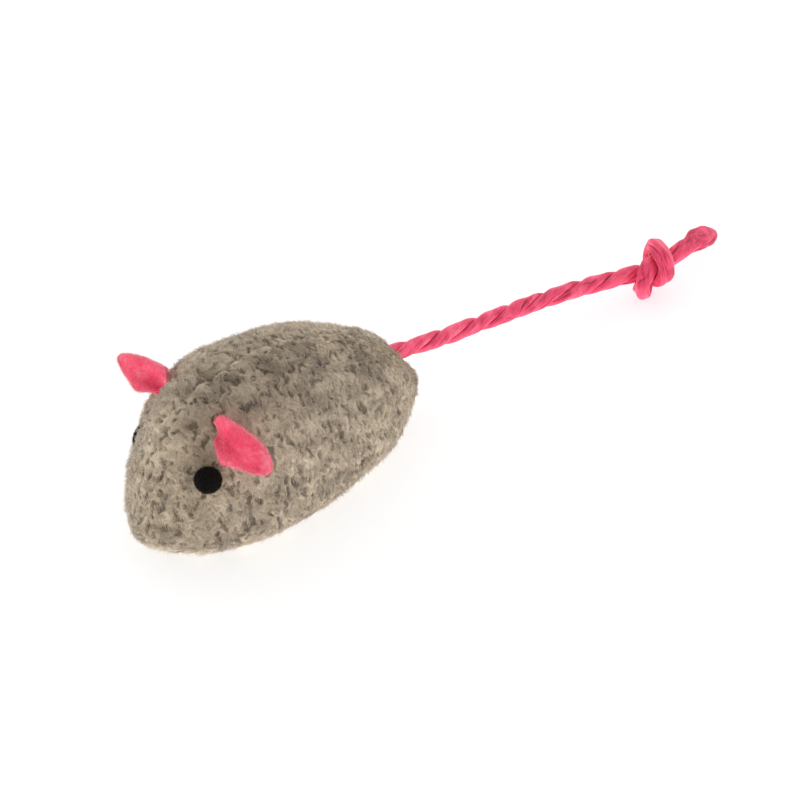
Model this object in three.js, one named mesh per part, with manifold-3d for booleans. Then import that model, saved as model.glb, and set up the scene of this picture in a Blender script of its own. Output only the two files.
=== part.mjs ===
import * as THREE from 'three';
import { mergeVertices } from 'three/addons/utils/BufferGeometryUtils.js';
import Module from 'manifold-3d';

// A catnip mouse: two fleece side panels and a flat fleece base sewn into a teardrop, stuffed round
// a catnip filling, with felt ears set in darts, pompom eyes and a knotted paper-cord tail.
// Millimetres. The nose points along -Y, the tail along +Y, and the mouse's left side is +X.
// The origin is on the surface that the mouse stands on, under the middle of its body.

const bodyLength = 48;
const bodyWidth = 25.4;
const bodyHeight = 25.4;
const fleeceThick = 2.4; // backing cloth and pile together
const seamGap = 0.3; // between two pieces that touch
const cutOverrun = 3; // how far a cutting block runs past what it cuts

// The fleece teardrop: where it is fullest, how it rounds off towards each end, and its flat base
const bodyShape = {
  widestShare: 0.37, // of the length, from the nose
  crestShare: 0.34, // of the length, from the nose
  hipShare: 0.225, // of the height, where each cross-section is widest
  noseSidePower: 0.64,
  rumpSidePower: 0.58,
  noseCrownPower: 0.62,
  rumpCrownPower: 0.7,
  bellyPower: 4,
  bellyCornerPower: 0.8,
};
const baseSink = 1.2; // how deep the round belly is sliced off to leave the flat base
const bodyStations = 22;
const bodySides = 36;

// Filling
const catnipLength = 17;
const catnipWidth = 9;
const catnipHeight = 9;
const catnipSetback = 2; // behind the middle of the body

// Felt ears. Each root runs between two places on the body, given as a share of the length from
// the nose and as an angle up from the hip. Each ear leans away from the body's surface normal and
// is skewed towards the lower end of its root, both in degrees
const feltThick = 1.2;
const earLength = 8.6;
const earTab = 1; // how deep the root sits in its dart
const earRise = 2.35; // height at which the ear bends away from the body
const earCup = 0.5;
const earDartClearance = 0.7; // round the root, so that the ear can flop
const earDartShare = 0.4; // how far up the ear its dart is opened
const earUpperPlace = { share: 0.235, angle: 59.5 };
const earLowerPlace = { share: 0.212, angle: 49.7 };
const earLeftBend = { lean: 57, skew: 30 };
const earRightBend = { lean: 49, skew: 38 };
const earUpperHalf = 2.8; // how far the upper edge reaches from the middle line
const earLowerHalf = 4.2;
const earUpperTaper = 0.16; // share by which the upper edge draws in towards the tip
const earLowerTaper = 0.51;
const earTipPower = 7.7; // how blunt the tip is
const earPinchShare = 0.06; // the root stays pinched over this share of the length
const earFlareShare = 0.285; // the ear is fully open at this share of the length
const earRows = 16;
const earColumns = 10;

// Pompom eyes, a little flattened against the fleece and pressed into it
const eyeDiameter = 3.5;
const eyeDepth = 2.4;
const eyeLeftPlace = { share: 0.149, angle: 35.8, sink: 0.2 };
const eyeRightPlace = { share: 0.124, angle: 32.5, sink: 1.1 };
const eyeSegments = 16;

// Paper-cord tail. Its free stretch is laid by hand from the rump to the knot: towards the left,
// back from the rump's end, and above the surface that the mouse stands on
const cordDiameter = 2.2;
const tailRootLength = 9; // held inside the rump
const tailRoute = [
  [0, 0, 9.5],
  [0.1, 3, 8.8],
  [0.3, 7, 8.1],
  [0.5, 11.2, 7.5],
  [0.7, 15.4, 6.9],
  [1, 19.6, 6.4],
  [1.3, 23.8, 5.8],
  [1.6, 27.8, 5.1],
  [2.1, 31.6, 4.4],
  [2.7, 35.1, 3.9],
  [3.3, 37.9, 3.6],
];
const cordSides = 8;
const cordSteps = 14;

// The overhand knot, tied by hand as the route is laid, and pulled tight from there
const knotTie = [
  [4.1, 38.4, 3.6],
  [4.8, 39.3, 3.1],
  [5.5, 40.1, 2.5],
  [6.3, 40.5, 2.5],
  [7, 40.4, 3.5],
  [7.1, 40.1, 5.1],
  [6.5, 40.1, 6.5],
  [5.4, 40.3, 7.3],
  [4, 40.9, 7.2],
  [3, 41.7, 5.9],
  [2.8, 41.9, 4.1],
  [3, 41.4, 2.9],
  [3.5, 40.4, 2.4],
  [4.3, 39.2, 2.3],
  [5.2, 37.9, 2.6],
  [5.6, 37.4, 3.7],
  [5.5, 37.9, 5.1],
  [5, 39.4, 5.4],
  [4.7, 40.9, 4.7],
  [4.9, 42.1, 4.5],
  [5.1, 43.2, 4.8],
  [5.1, 44.4, 5],
  [4.9, 45.8, 5],
];
const knotSqueeze = 0.85; // paper cord is squeezed to this share of its diameter in the knot
const knotClearance = 0.5; // between two turns of the knot
const knotBeads = 64; // points that the cord is divided into while the knot is pulled tight
const knotPulls = 10;
const knotPushes = 8; // times that its turns are pushed apart after each pull
const knotSteps = 72;

// The flared tail end, where the two plies have opened out
const tailEndLength = 7.5;
const tailEndWidth = 3;
const tailEndThick = 1.9;
const tailEndTip = [2.9, 53, 1.6]; // placed as the route's points are
const tailEndSteps = 10;

const { Vector3 } = THREE;
const wasm = await Module();
wasm.setup();

function solidOf(geometry) {
  const bare = geometry.index ? geometry.toNonIndexed() : geometry.clone();
  bare.deleteAttribute('normal');
  bare.deleteAttribute('uv');
  const welded = mergeVertices(bare, 1e-5);
  return new wasm.Manifold(new wasm.Mesh({
    numProp: 3,
    vertProperties: new Float32Array(welded.attributes.position.array),
    triVerts: new Uint32Array(welded.index.array),
  }));
}

function geometryOf(solid) {
  const mesh = solid.getMesh();
  const geometry = new THREE.BufferGeometry();
  geometry.setAttribute('position', new THREE.BufferAttribute(mesh.vertProperties, 3));
  geometry.setIndex(new THREE.BufferAttribute(mesh.triVerts, 1));
  return geometry;
}

// A closed skin over rings of points, with each end drawn in to a point of its own
function loft(rings, startPoint, endPoint) {
  const sides = rings[0].length;
  const points = [...rings.flat(), startPoint, endPoint];
  const startIndex = points.length - 2;
  const endIndex = points.length - 1;
  const lastRing = (rings.length - 1) * sides;
  const faces = [];
  for (let side = 0; side < sides; side += 1) {
    const next = (side + 1) % sides;
    faces.push(startIndex, next, side, endIndex, lastRing + side, lastRing + next);
    for (let ring = 0; ring < lastRing; ring += sides) {
      faces.push(ring + side, ring + next, ring + sides + next);
      faces.push(ring + side, ring + sides + next, ring + sides + side);
    }
  }
  const geometry = new THREE.BufferGeometry().setFromPoints(points);
  geometry.setIndex(faces);
  return geometry;
}

function block(low, high) {
  const size = new Vector3().subVectors(high, low);
  const middle = new Vector3().addVectors(low, high).divideScalar(2);
  return new THREE.BoxGeometry(size.x, size.y, size.z).translate(middle.x, middle.y, middle.z);
}

// How full the body is at a share of its length: 1 at the fullest place, and 0 at both ends
function swell(share, fullestShare, nosePower, rumpPower) {
  const reach = share < fullestShare ? fullestShare : 1 - fullestShare;
  const run = Math.abs(share - fullestShare) / reach;
  return Math.max(0, 1 - run ** 2) ** (share < fullestShare ? nosePower : rumpPower);
}

// A point of the body's skin, moved in by inset, at an angle up from the hip on the +X side
function bodyPoint(share, angle, inset) {
  const shape = bodyShape;
  const hip = bodyHeight * shape.hipShare;
  const side = (bodyWidth / 2 - inset)
    * swell(share, shape.widestShare, shape.noseSidePower, shape.rumpSidePower);
  const crown = (bodyHeight - hip - inset)
    * swell(share, shape.crestShare, shape.noseCrownPower, shape.rumpCrownPower);
  const middle = Math.abs(2 * share - 1) ** shape.bellyPower;
  const belly = (hip + baseSink) * Math.max(0, 1 - middle) ** (1 / shape.bellyPower);
  const across = Math.cos(angle);
  const up = Math.sin(angle);
  const power = up < 0 ? shape.bellyCornerPower : 1;
  return new Vector3(
    side * Math.sign(across) * Math.abs(across) ** power,
    (share - 0.5) * (bodyLength - 2 * inset),
    hip + (up < 0 ? -belly * Math.abs(up) ** power : crown * up),
  );
}

function bodySkin(inset) {
  const rings = [];
  for (let station = 1; station < bodyStations; station += 1) {
    const share = (1 - Math.cos((Math.PI * station) / bodyStations)) / 2;
    const ring = [];
    for (let side = 0; side < bodySides; side += 1) {
      ring.push(bodyPoint(share, (-2 * Math.PI * side) / bodySides, inset));
    }
    rings.push(ring);
  }
  return solidOf(loft(rings, bodyPoint(0, 0, inset), bodyPoint(1, 0, inset)));
}

// Everything above one height, or everything on one side of the middle seam
function above(height) {
  const reach = bodyLength + cutOverrun;
  return solidOf(block(new Vector3(-reach, -reach, height), new Vector3(reach, reach, reach)));
}

function beside(mirror) {
  const reach = bodyLength + cutOverrun;
  const near = mirror < 0 ? -reach : seamGap / 2;
  const far = mirror < 0 ? -seamGap / 2 : reach;
  return solidOf(block(new Vector3(near, -reach, -reach), new Vector3(far, reach, reach)));
}

function placeOnBody(place) {
  const angle = THREE.MathUtils.degToRad(place.angle);
  const nudge = 1e-3;
  const point = bodyPoint(place.share, angle, 0);
  const along = bodyPoint(place.share + nudge, angle, 0).sub(point);
  const around = bodyPoint(place.share, angle + nudge, 0).sub(point);
  return { point, normal: new Vector3().crossVectors(along, around).normalize() };
}

function mirrored(geometry) {
  const flipped = geometry.clone().scale(-1, 1, 1);
  const { array } = flipped.index;
  for (let face = 0; face < array.length; face += 3) {
    [array[face], array[face + 1]] = [array[face + 1], array[face]];
  }
  return flipped;
}

// How far an edge of the ear lies from its middle line at a share of its length: pinched at the
// root, open past the flare, and rounded at the tip
function edgeReach(share, halfRoot, half, taper) {
  const tip = Math.sqrt(Math.max(0.06, 1 - share ** earTipPower));
  const petal = half * (1 - taper * share) * tip;
  const opened = THREE.MathUtils.smoothstep(share, earPinchShare, earFlareShare);
  return THREE.MathUtils.lerp(halfRoot, petal, opened);
}

// An ear on the +X side as a sheet of felt that rises from its dart and bends away from the body.
// With a margin it is the dart that the ear's root is sewn into
function earSheet(bend, margin) {
  const upper = placeOnBody(earUpperPlace);
  const lower = placeOnBody(earLowerPlace);
  const root = new Vector3().addVectors(upper.point, lower.point).divideScalar(2);
  const along = new Vector3().subVectors(lower.point, upper.point);
  const halfRoot = along.length() / 2;
  along.normalize();
  const normal = new Vector3().addVectors(upper.normal, lower.normal);
  normal.addScaledVector(along, -normal.dot(along)).normalize();
  const outward = new Vector3().crossVectors(normal, along);
  const lean = THREE.MathUtils.degToRad(bend.lean);
  const skew = THREE.MathUtils.degToRad(bend.skew);
  const reach = new Vector3()
    .addScaledVector(normal, Math.cos(lean) * Math.cos(skew))
    .addScaledVector(outward, Math.sin(lean) * Math.cos(skew))
    .addScaledVector(along, Math.sin(skew));
  const spine = new THREE.QuadraticBezierCurve3(
    root.clone().addScaledVector(normal, -earTab),
    root.clone().addScaledVector(normal, earRise),
    root.clone().addScaledVector(reach, earLength),
  );
  const lastShare = margin > 0 ? earDartShare : 1;
  const halfThick = feltThick / 2 + margin;
  const rings = [];
  for (let row = 0; row <= earRows; row += 1) {
    const share = lastShare * Math.sin((Math.PI * row) / (2 * earRows));
    const middle = spine.getPoint(share).addScaledVector(normal, row === 0 ? -margin : 0);
    const face = new Vector3().crossVectors(along, spine.getTangent(share)).normalize();
    const upperReach = edgeReach(share, halfRoot, earUpperHalf, earUpperTaper) + margin;
    const lowerReach = edgeReach(share, halfRoot, earLowerHalf, earLowerTaper) + margin;
    const ring = [];
    for (let step = 0; step < 2 * earColumns; step += 1) {
      const back = step >= earColumns;
      const column = back ? 2 * earColumns - 1 - step : step;
      const across = (2 * column) / (earColumns - 1) - 1;
      const edge = Math.sqrt(1 - 0.5 * across ** 4);
      const cup = earCup * across ** 2 * (1 - share);
      ring.push(middle.clone()
        .addScaledVector(along, across * (across < 0 ? upperReach : lowerReach))
        .addScaledVector(face, cup + (back ? -edge : edge) * halfThick));
    }
    rings.push(ring);
  }
  const foot = spine.getPoint(0).addScaledVector(normal, -margin);
  return loft(rings, foot, spine.getPoint(lastShare));
}

// A pompom on the +X side, with its flattened way along the body's surface normal
function eyeBall(place, margin) {
  const { point, normal } = placeOnBody(place);
  const turn = new THREE.Quaternion().setFromUnitVectors(new Vector3(0, 0, 1), normal);
  const radius = eyeDiameter / 2 + margin;
  const ball = new THREE.SphereGeometry(1, eyeSegments, eyeSegments);
  ball.scale(radius, radius, eyeDepth / 2 + margin);
  const { x, y, z } = point.addScaledVector(normal, -place.sink);
  return ball.applyQuaternion(turn).translate(x, y, z);
}

function cordSection(diameter) {
  const section = new THREE.Shape();
  for (let side = 0; side < cordSides; side += 1) {
    const angle = (2 * Math.PI * side) / cordSides;
    const x = (diameter / 2) * Math.cos(angle);
    const y = (diameter / 2) * Math.sin(angle);
    if (side === 0) section.moveTo(x, y);
    else section.lineTo(x, y);
  }
  section.closePath();
  return section;
}

function tube(path, diameter, steps) {
  return new THREE.ExtrudeGeometry(cordSection(diameter), { steps, extrudePath: path });
}

function behindRump([x, y, z]) {
  return new Vector3(x, bodyLength / 2 + y, z);
}

const tailPoints = tailRoute.map(behindRump);
const tailPath = new THREE.CatmullRomCurve3(tailPoints);
const tailDirection = tailPath.getTangent(0);

// The cord's end inside the rump, as far as the ball on which the free tail turns
function tailRoot(margin) {
  const outer = tailPoints[0].clone()
    .addScaledVector(tailDirection, -cordDiameter / 2 - seamGap + margin);
  const inner = tailPoints[0].clone()
    .addScaledVector(tailDirection, -cordDiameter / 2 - seamGap - tailRootLength - margin);
  return tube(new THREE.LineCurve3(inner, outer), cordDiameter + 2 * margin, 1);
}

// Pulls a loosely tied knot tight: the cord is shortened like a stretched band, and any two
// stretches of it that come nearer than their spacing are pushed apart again
function pullTight(tie, spacing) {
  let beads = new THREE.CatmullRomCurve3(tie).getSpacedPoints(knotBeads);
  const middle = new Vector3();
  for (let pull = 0; pull < knotPulls; pull += 1) {
    const before = beads.map((bead) => bead.clone());
    for (let bead = 1; bead < knotBeads; bead += 1) {
      middle.addVectors(before[bead - 1], before[bead + 1]).divideScalar(2);
      beads[bead].lerp(middle, 0.5);
    }
    for (let push = 0; push < knotPushes; push += 1) pushApart(beads, spacing);
    beads = new THREE.CatmullRomCurve3(beads).getSpacedPoints(knotBeads);
  }
  return beads;
}

// Beads this far along the cord from each other belong to two different turns of the knot
function beadsApart(beads, spacing) {
  return Math.ceil((1.5 * spacing) / beads[1].distanceTo(beads[0]));
}

function pushApart(beads, spacing) {
  const apart = beadsApart(beads, spacing);
  const push = new Vector3();
  for (let first = 1; first < knotBeads; first += 1) {
    for (let second = first + apart; second < knotBeads; second += 1) {
      push.subVectors(beads[second], beads[first]);
      const lack = spacing - push.length();
      if (lack > 0) {
        push.setLength(lack / 2);
        beads[first].sub(push);
        beads[second].add(push);
      }
    }
  }
}

function leastGap(beads, spacing, diameter) {
  const apart = beadsApart(beads, spacing);
  let least = Infinity;
  beads.forEach((bead, first) => {
    for (let second = first + apart; second < beads.length; second += 1) {
      least = Math.min(least, bead.distanceTo(beads[second]));
    }
  });
  return least - diameter;
}

const knotDiameter = cordDiameter * knotSqueeze;
const knotSpacing = knotDiameter + knotClearance;

const knotStart = tailPath.getPoint(1).addScaledVector(tailPath.getTangent(1), seamGap);
const knotPoints = [knotStart, ...knotTie.map(behindRump)];
const knotPath = new THREE.CatmullRomCurve3(pullTight(knotPoints, knotSpacing));
const turnGap = leastGap(knotPath.getSpacedPoints(knotBeads), knotSpacing, knotDiameter);
console.log(`least gap between the knot's turns: ${turnGap.toFixed(2)} mm`);

// The opened-out end of the cord, flat and wider towards its cut tip
function tailEnd() {
  const along = knotPath.getTangent(1);
  const start = knotPath.getPoint(1).addScaledVector(along, seamGap);
  const tip = behindRump(tailEndTip);
  const spine = new THREE.QuadraticBezierCurve3(
    start,
    start.clone().addScaledVector(along, tailEndLength / 3),
    tip,
  );
  const rings = [];
  for (let row = 0; row <= tailEndSteps; row += 1) {
    const share = row / tailEndSteps;
    const tangent = spine.getTangent(share);
    const aside = new Vector3(tangent.y, -tangent.x, 0).normalize();
    const up = new Vector3().crossVectors(aside, tangent);
    const flare = Math.sin(Math.PI * Math.min(1, 0.15 + 0.6 * share)) ** 2;
    const halfWidth = THREE.MathUtils.lerp(knotDiameter, tailEndWidth, flare) / 2;
    const halfThick = THREE.MathUtils.lerp(knotDiameter, tailEndThick, flare) / 2;
    const ring = [];
    for (let side = 0; side < cordSides; side += 1) {
      const angle = (-2 * Math.PI * side) / cordSides;
      ring.push(spine.getPoint(share)
        .addScaledVector(aside, halfWidth * Math.cos(angle))
        .addScaledVector(up, halfThick * Math.sin(angle)));
    }
    rings.push(ring);
  }
  return loft(rings, spine.getPoint(0), spine.getPoint(1));
}

function freeTail() {
  const free = solidOf(tube(tailPath, cordDiameter, cordSteps));
  const ball = new THREE.SphereGeometry(cordDiameter / 2, cordSides, cordSides);
  const { x, y, z } = tailPoints[0];
  return free.add(solidOf(ball.translate(x, y, z)));
}

const outerSkin = bodySkin(0);
const innerSkin = bodySkin(fleeceThick);
const rootHole = solidOf(tailRoot(seamGap));

function sidePanel(mirror, earBend, eyePlace) {
  const dart = earSheet(earBend, earDartClearance);
  const socket = eyeBall(eyePlace, seamGap);
  return outerSkin.subtract(innerSkin)
    .intersect(above(fleeceThick + seamGap / 2))
    .intersect(beside(mirror))
    .subtract(rootHole)
    .subtract(solidOf(mirror < 0 ? mirrored(dart) : dart))
    .subtract(solidOf(mirror < 0 ? mirrored(socket) : socket));
}

function basePanel() {
  return outerSkin.intersect(above(0)).subtract(above(fleeceThick - seamGap / 2));
}

function catnipPinch(margin) {
  const pinch = new THREE.SphereGeometry(1, 24, 16).scale(
    catnipWidth / 2 + margin,
    catnipLength / 2 + margin,
    catnipHeight + margin,
  );
  return solidOf(pinch.translate(0, catnipSetback, fleeceThick));
}

const fillingFloor = fleeceThick + seamGap;

function stuffing() {
  return bodySkin(fleeceThick + seamGap)
    .intersect(above(fillingFloor))
    .subtract(rootHole)
    .subtract(catnipPinch(seamGap));
}

const fleece = { color: 0x98897a, roughness: 0.97, metalness: 0 };
const felt = { color: 0xf4517a, roughness: 0.92, metalness: 0 };
const pompom = { color: 0x15140f, roughness: 0.9, metalness: 0 };
const paperCord = { color: 0xe0446c, roughness: 0.72, metalness: 0 };
const fibrefill = { color: 0xf1efe9, roughness: 0.95, metalness: 0 };
const driedLeaf = { color: 0x6d7a42, roughness: 0.95, metalness: 0 };

const mouse = new THREE.Group();

function addPiece(name, geometry, finish) {
  const mesh = new THREE.Mesh(geometry, new THREE.MeshStandardMaterial(finish));
  mesh.name = name;
  mouse.add(mesh);
}

addPiece('body_panel_left', geometryOf(sidePanel(1, earLeftBend, eyeLeftPlace)), fleece);
addPiece('body_panel_right', geometryOf(sidePanel(-1, earRightBend, eyeRightPlace)), fleece);
addPiece('base_panel', geometryOf(basePanel()), fleece);
addPiece('stuffing', geometryOf(stuffing()), fibrefill);
addPiece('catnip_filling', geometryOf(catnipPinch(0).intersect(above(fillingFloor))), driedLeaf);
addPiece('ear_left', earSheet(earLeftBend, 0), felt);
addPiece('ear_right', mirrored(earSheet(earRightBend, 0)), felt);
addPiece('eye_left', geometryOf(solidOf(eyeBall(eyeLeftPlace, 0))), pompom);
addPiece('eye_right', geometryOf(solidOf(mirrored(eyeBall(eyeRightPlace, 0)))), pompom);
addPiece('tail_root', tailRoot(0), paperCord);
addPiece('tail_cord', geometryOf(freeTail()), paperCord);
addPiece('tail_knot', tube(knotPath, knotDiameter, knotSteps), paperCord);
addPiece('tail_end', tailEnd(), paperCord);

export default mouse;
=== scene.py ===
import math
import bpy
import numpy as np
from mathutils import Matrix, Vector


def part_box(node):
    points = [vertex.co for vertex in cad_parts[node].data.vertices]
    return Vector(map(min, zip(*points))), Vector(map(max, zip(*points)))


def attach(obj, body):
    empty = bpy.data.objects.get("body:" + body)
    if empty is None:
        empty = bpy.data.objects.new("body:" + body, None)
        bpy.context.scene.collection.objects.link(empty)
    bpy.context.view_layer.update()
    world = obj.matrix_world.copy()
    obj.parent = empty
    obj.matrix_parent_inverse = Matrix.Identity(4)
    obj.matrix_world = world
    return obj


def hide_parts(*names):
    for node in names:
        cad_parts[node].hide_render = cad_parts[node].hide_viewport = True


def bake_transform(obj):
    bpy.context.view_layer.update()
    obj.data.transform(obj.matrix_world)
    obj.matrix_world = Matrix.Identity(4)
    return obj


# A catnip mouse: a fleece body with a curly pile, felt ears, pompom eyes and a knotted tail of
# twisted paper cord. Metres. The nose points along -Y, the tail along +Y, the left side is +X.

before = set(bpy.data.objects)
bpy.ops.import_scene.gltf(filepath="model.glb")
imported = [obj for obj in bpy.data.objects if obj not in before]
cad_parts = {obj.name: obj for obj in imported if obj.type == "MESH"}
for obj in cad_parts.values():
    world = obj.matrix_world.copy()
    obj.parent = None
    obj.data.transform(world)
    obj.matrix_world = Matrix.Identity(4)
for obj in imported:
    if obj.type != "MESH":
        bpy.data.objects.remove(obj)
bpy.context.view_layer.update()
scene = bpy.context.scene


# Camera

cameraSpot = {
    "aim": (0.0, 0.018, 0.008),
    "azimuth": 51.5,  # degrees round from the nose towards the left side
    "elevation": 42.0,
    "roll": -1.5,
    "distance": 0.65,
    "frameWidth": 0.1088,  # what the picture spans at the aim
    "aside": 0.00303,  # the middle of the picture, from the aim
    "above": -0.00353,
    "sensor": 36.0,  # millimetres
    "clipFactor": 100,  # the nearest and the farthest that is drawn, from the distance
}


# Stands back from the aim by the distance, round by the azimuth and up by the elevation. The lens
# is the sensor's width times the distance over the width that the picture spans.
def addCamera(spot):
    azimuth, elevation = math.radians(spot["azimuth"]), math.radians(spot["elevation"])
    back = Vector((
        math.sin(azimuth) * math.cos(elevation),
        -math.cos(azimuth) * math.cos(elevation),
        math.sin(elevation),
    ))
    level = Vector((math.cos(azimuth), math.sin(azimuth), 0))
    turn = Matrix.Rotation(math.radians(spot["roll"]), 3, back)
    right = turn @ level
    up = back.cross(right)
    middle = Vector(spot["aim"]) + right * spot["aside"] + up * spot["above"]
    data = bpy.data.cameras.new("camera")
    data.sensor_width = spot["sensor"]
    data.lens = spot["sensor"] * spot["distance"] / spot["frameWidth"]
    data.clip_start = spot["distance"] / spot["clipFactor"]
    data.clip_end = spot["distance"] * spot["clipFactor"]
    camera = bpy.data.objects.new("camera", data)
    axes = Matrix((right, up, back)).transposed().to_4x4()
    camera.matrix_world = Matrix.Translation(middle + back * spot["distance"]) @ axes
    scene.collection.objects.link(camera)
    scene.camera = camera


addCamera(cameraSpot)
print("camera placed")


# Numbers and lines that every piece uses

tiny = 1e-12  # keeps a division from failing
nudge = 1e-3  # the step over which a surface's slope is measured


# Each vector over its own length.
def unit(vectors):
    length = np.linalg.norm(vectors, axis=-1, keepdims=True)
    return vectors / np.maximum(length, tiny)


# The part of each vector that lies across a normal, over its own length.
def unitAcross(vectors, normal):
    return unit(vectors - normal * (vectors * normal).sum(-1, keepdims=True))


# Rises from 0 at low to 1 at high and is level at both: 3 s^2 - 2 s^3 of the share s between them.
def smooth(value, low, high):
    share = np.clip((value - low) / (high - low), 0, 1)
    return share * share * (3 - 2 * share)


# A bell that is 1 where the gap is 0: e to the power of minus (gap over width) squared.
def bell(gap, width):
    return np.exp(-(gap / width) ** 2)


# A value that goes from one number to another as the share goes from 0 to 1.
def between(first, second, share):
    return first + (second - first) * share


# A power of the size of each value, with the value's own sign.
def signedPower(value, power):
    return np.sign(value) * np.abs(value) ** power


# A smooth random field, mostly from -1 to 1: the sum of plane waves of about one length that run
# in random directions, over the root of twice their number.
def waves(points, length, seed, count=14):
    rng = np.random.default_rng(seed)
    ways = unit(rng.normal(size=(count, 3)))
    rates = 2 * np.pi / (length * rng.uniform(0.7, 1.4, count))
    starts = rng.uniform(0, 2 * np.pi, count)
    total = np.cos(points @ (ways * rates[:, None]).T + starts).sum(axis=-1)
    return np.clip(total / math.sqrt(2 * count), -1, 1)


# The same field along a length, in one of many lanes that differ.
def wavesAlong(run, length, seed, lane=0):
    return waves(np.stack([run, 0 * run + lane, 0 * run], axis=-1), length, seed)


# The length of a line up to each of its points.
def runOf(line):
    return np.concatenate([[0], np.cumsum(np.linalg.norm(np.diff(line, axis=0), axis=1))])


# The points of a line at lengths that are wanted along it.
def pointsAt(line, wanted):
    run = runOf(line)
    return np.stack([np.interp(wanted, run, line[:, axis]) for axis in range(3)], axis=-1)


# The same line with its points evenly spaced by length.
def evenly(line, count):
    return pointsAt(line, np.linspace(0, runOf(line)[-1], count))


# Meshes

mapEdges = {  # shares of a map, or of a strip of it, that its faces leave free
    "side": 0.04,
    "foot": 0.01,
    "fanFoot": 0.002,  # where the triangles that close an end lie
    "fan": 0.01,  # half a triangle's width
    "fanRise": 0.4,  # its height, of that
}


# One mesh object from arrays: faces is a list of index arrays, each with the same number of
# corners in every row, and uv has a row for each corner in the faces' order.
def flatMesh(name, points, faces, uv=None, marks=None):
    mesh = bpy.data.meshes.new(name)
    corners = np.concatenate([part.ravel() for part in faces])
    sizes = np.concatenate([np.full(len(part), part.shape[1]) for part in faces])
    mesh.vertices.add(len(points))
    mesh.vertices.foreach_set("co", points.astype(np.float32).ravel())
    mesh.loops.add(len(corners))
    mesh.loops.foreach_set("vertex_index", corners.astype(np.int32))
    mesh.polygons.add(len(sizes))
    mesh.polygons.foreach_set("loop_start", (np.cumsum(sizes) - sizes).astype(np.int32))
    mesh.polygons.foreach_set("loop_total", sizes.astype(np.int32))
    mesh.polygons.foreach_set("use_smooth", np.ones(len(sizes), bool))
    if uv is not None:
        layer = mesh.uv_layers.new(name="OFBake")
        layer.data.foreach_set("uv", uv.astype(np.float32).ravel())
    for mark, values in (marks or {}).items():
        kind, field = ("FLOAT", "value") if values.ndim == 1 else ("FLOAT_VECTOR", "vector")
        layer = mesh.attributes.new(mark, kind, "POINT")
        layer.data.foreach_set(field, values.astype(np.float32).ravel())
    mesh.update()
    mesh.validate()
    piece = bpy.data.objects.new(name, mesh)
    scene.collection.objects.link(piece)
    return piece


# Four-cornered faces over a grid of points, joined round in each row where it is closed.
def gridFaces(rows, columns, closed, start=0):
    across = columns if closed else columns - 1
    row, column = np.meshgrid(np.arange(rows - 1), np.arange(across), indexing="ij")
    nextColumn = (column + 1) % columns
    faces = np.stack([
        row * columns + column,
        row * columns + nextColumn,
        (row + 1) * columns + nextColumn,
        (row + 1) * columns + column,
    ], axis=-1)
    return faces.reshape(-1, 4) + start


# A closed skin over rings of points, with a fan of triangles to one point at each end. Those two
# points come after the rings.
def tubeFaces(rows, sides):
    ring = np.arange(sides)
    after = (ring + 1) % sides
    end = (rows - 1) * sides
    startFan = np.stack([np.full(sides, rows * sides), after, ring], axis=-1)
    endFan = np.stack([np.full(sides, rows * sides + 1), end + ring, end + after], axis=-1)
    return [gridFaces(rows, sides, True), np.concatenate([startFan, endFan])]


# A map for a tube's walls: its length is cut into strips that stand side by side.
def stripUv(rows, columns, strips):
    row, column = np.meshgrid(np.arange(rows - 1), np.arange(columns), indexing="ij")
    each = math.ceil((rows - 1) / strips)
    strip = row // each
    across = np.stack([column, column + 1, column + 1, column], axis=-1) / columns
    up = np.stack([row, row, row + 1, row + 1], axis=-1) - (strip * each)[..., None]
    side, foot = mapEdges["side"], mapEdges["foot"]
    u = (strip[..., None] + side + (1 - 2 * side) * across) / strips
    return np.stack([u, foot + (1 - 2 * foot) * up / each], axis=-1).reshape(-1, 2)


# A map for the triangles that close a tube's ends, which all lie in one small place at its foot.
def fanUv(count, size=1):
    half = mapEdges["fan"] * size
    foot = mapEdges["fanFoot"]
    top = foot + half * mapEdges["fanRise"]
    return np.tile([[0.5, foot], [0.5 + half, top], [0.5 - half, top]], (count, 1))


# One closed mesh over a grid of rings. The point that closes an end is the middle of its ring.
def ringMesh(name, rings, marks=None):
    rows, columns = rings.shape[:2]
    points = np.vstack([rings.reshape(-1, 3), rings[[0, -1]].mean(axis=1)])
    uv = np.vstack([stripUv(rows, columns, 1), fanUv(2 * columns)])
    return flatMesh(name, points, tubeFaces(rows, columns), uv, marks)


# Gives a piece its material and its body, and hides the CAD nodes that it stands for. Its slot is not
# used.
def finishPiece(piece, body, slot, material, *nodes):
    piece.data.materials.append(material)
    if body:
        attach(piece, body)
    if nodes:
        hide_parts(*nodes)


# Fibres, which the pile, the felt's fuzz and the pompoms are made of

fibreShape = {
    "sides": 3,
    "mapWidth": 0.04,  # of one fibre, as a share of the map
    "mapSide": 0.02,  # left free beside the darkest fibre and the palest
    "mapFoot": 0.01,  # left free below the roots and above the tips
    "mapRoot": 0.005,  # half the height of the face that closes a root
}


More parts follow.
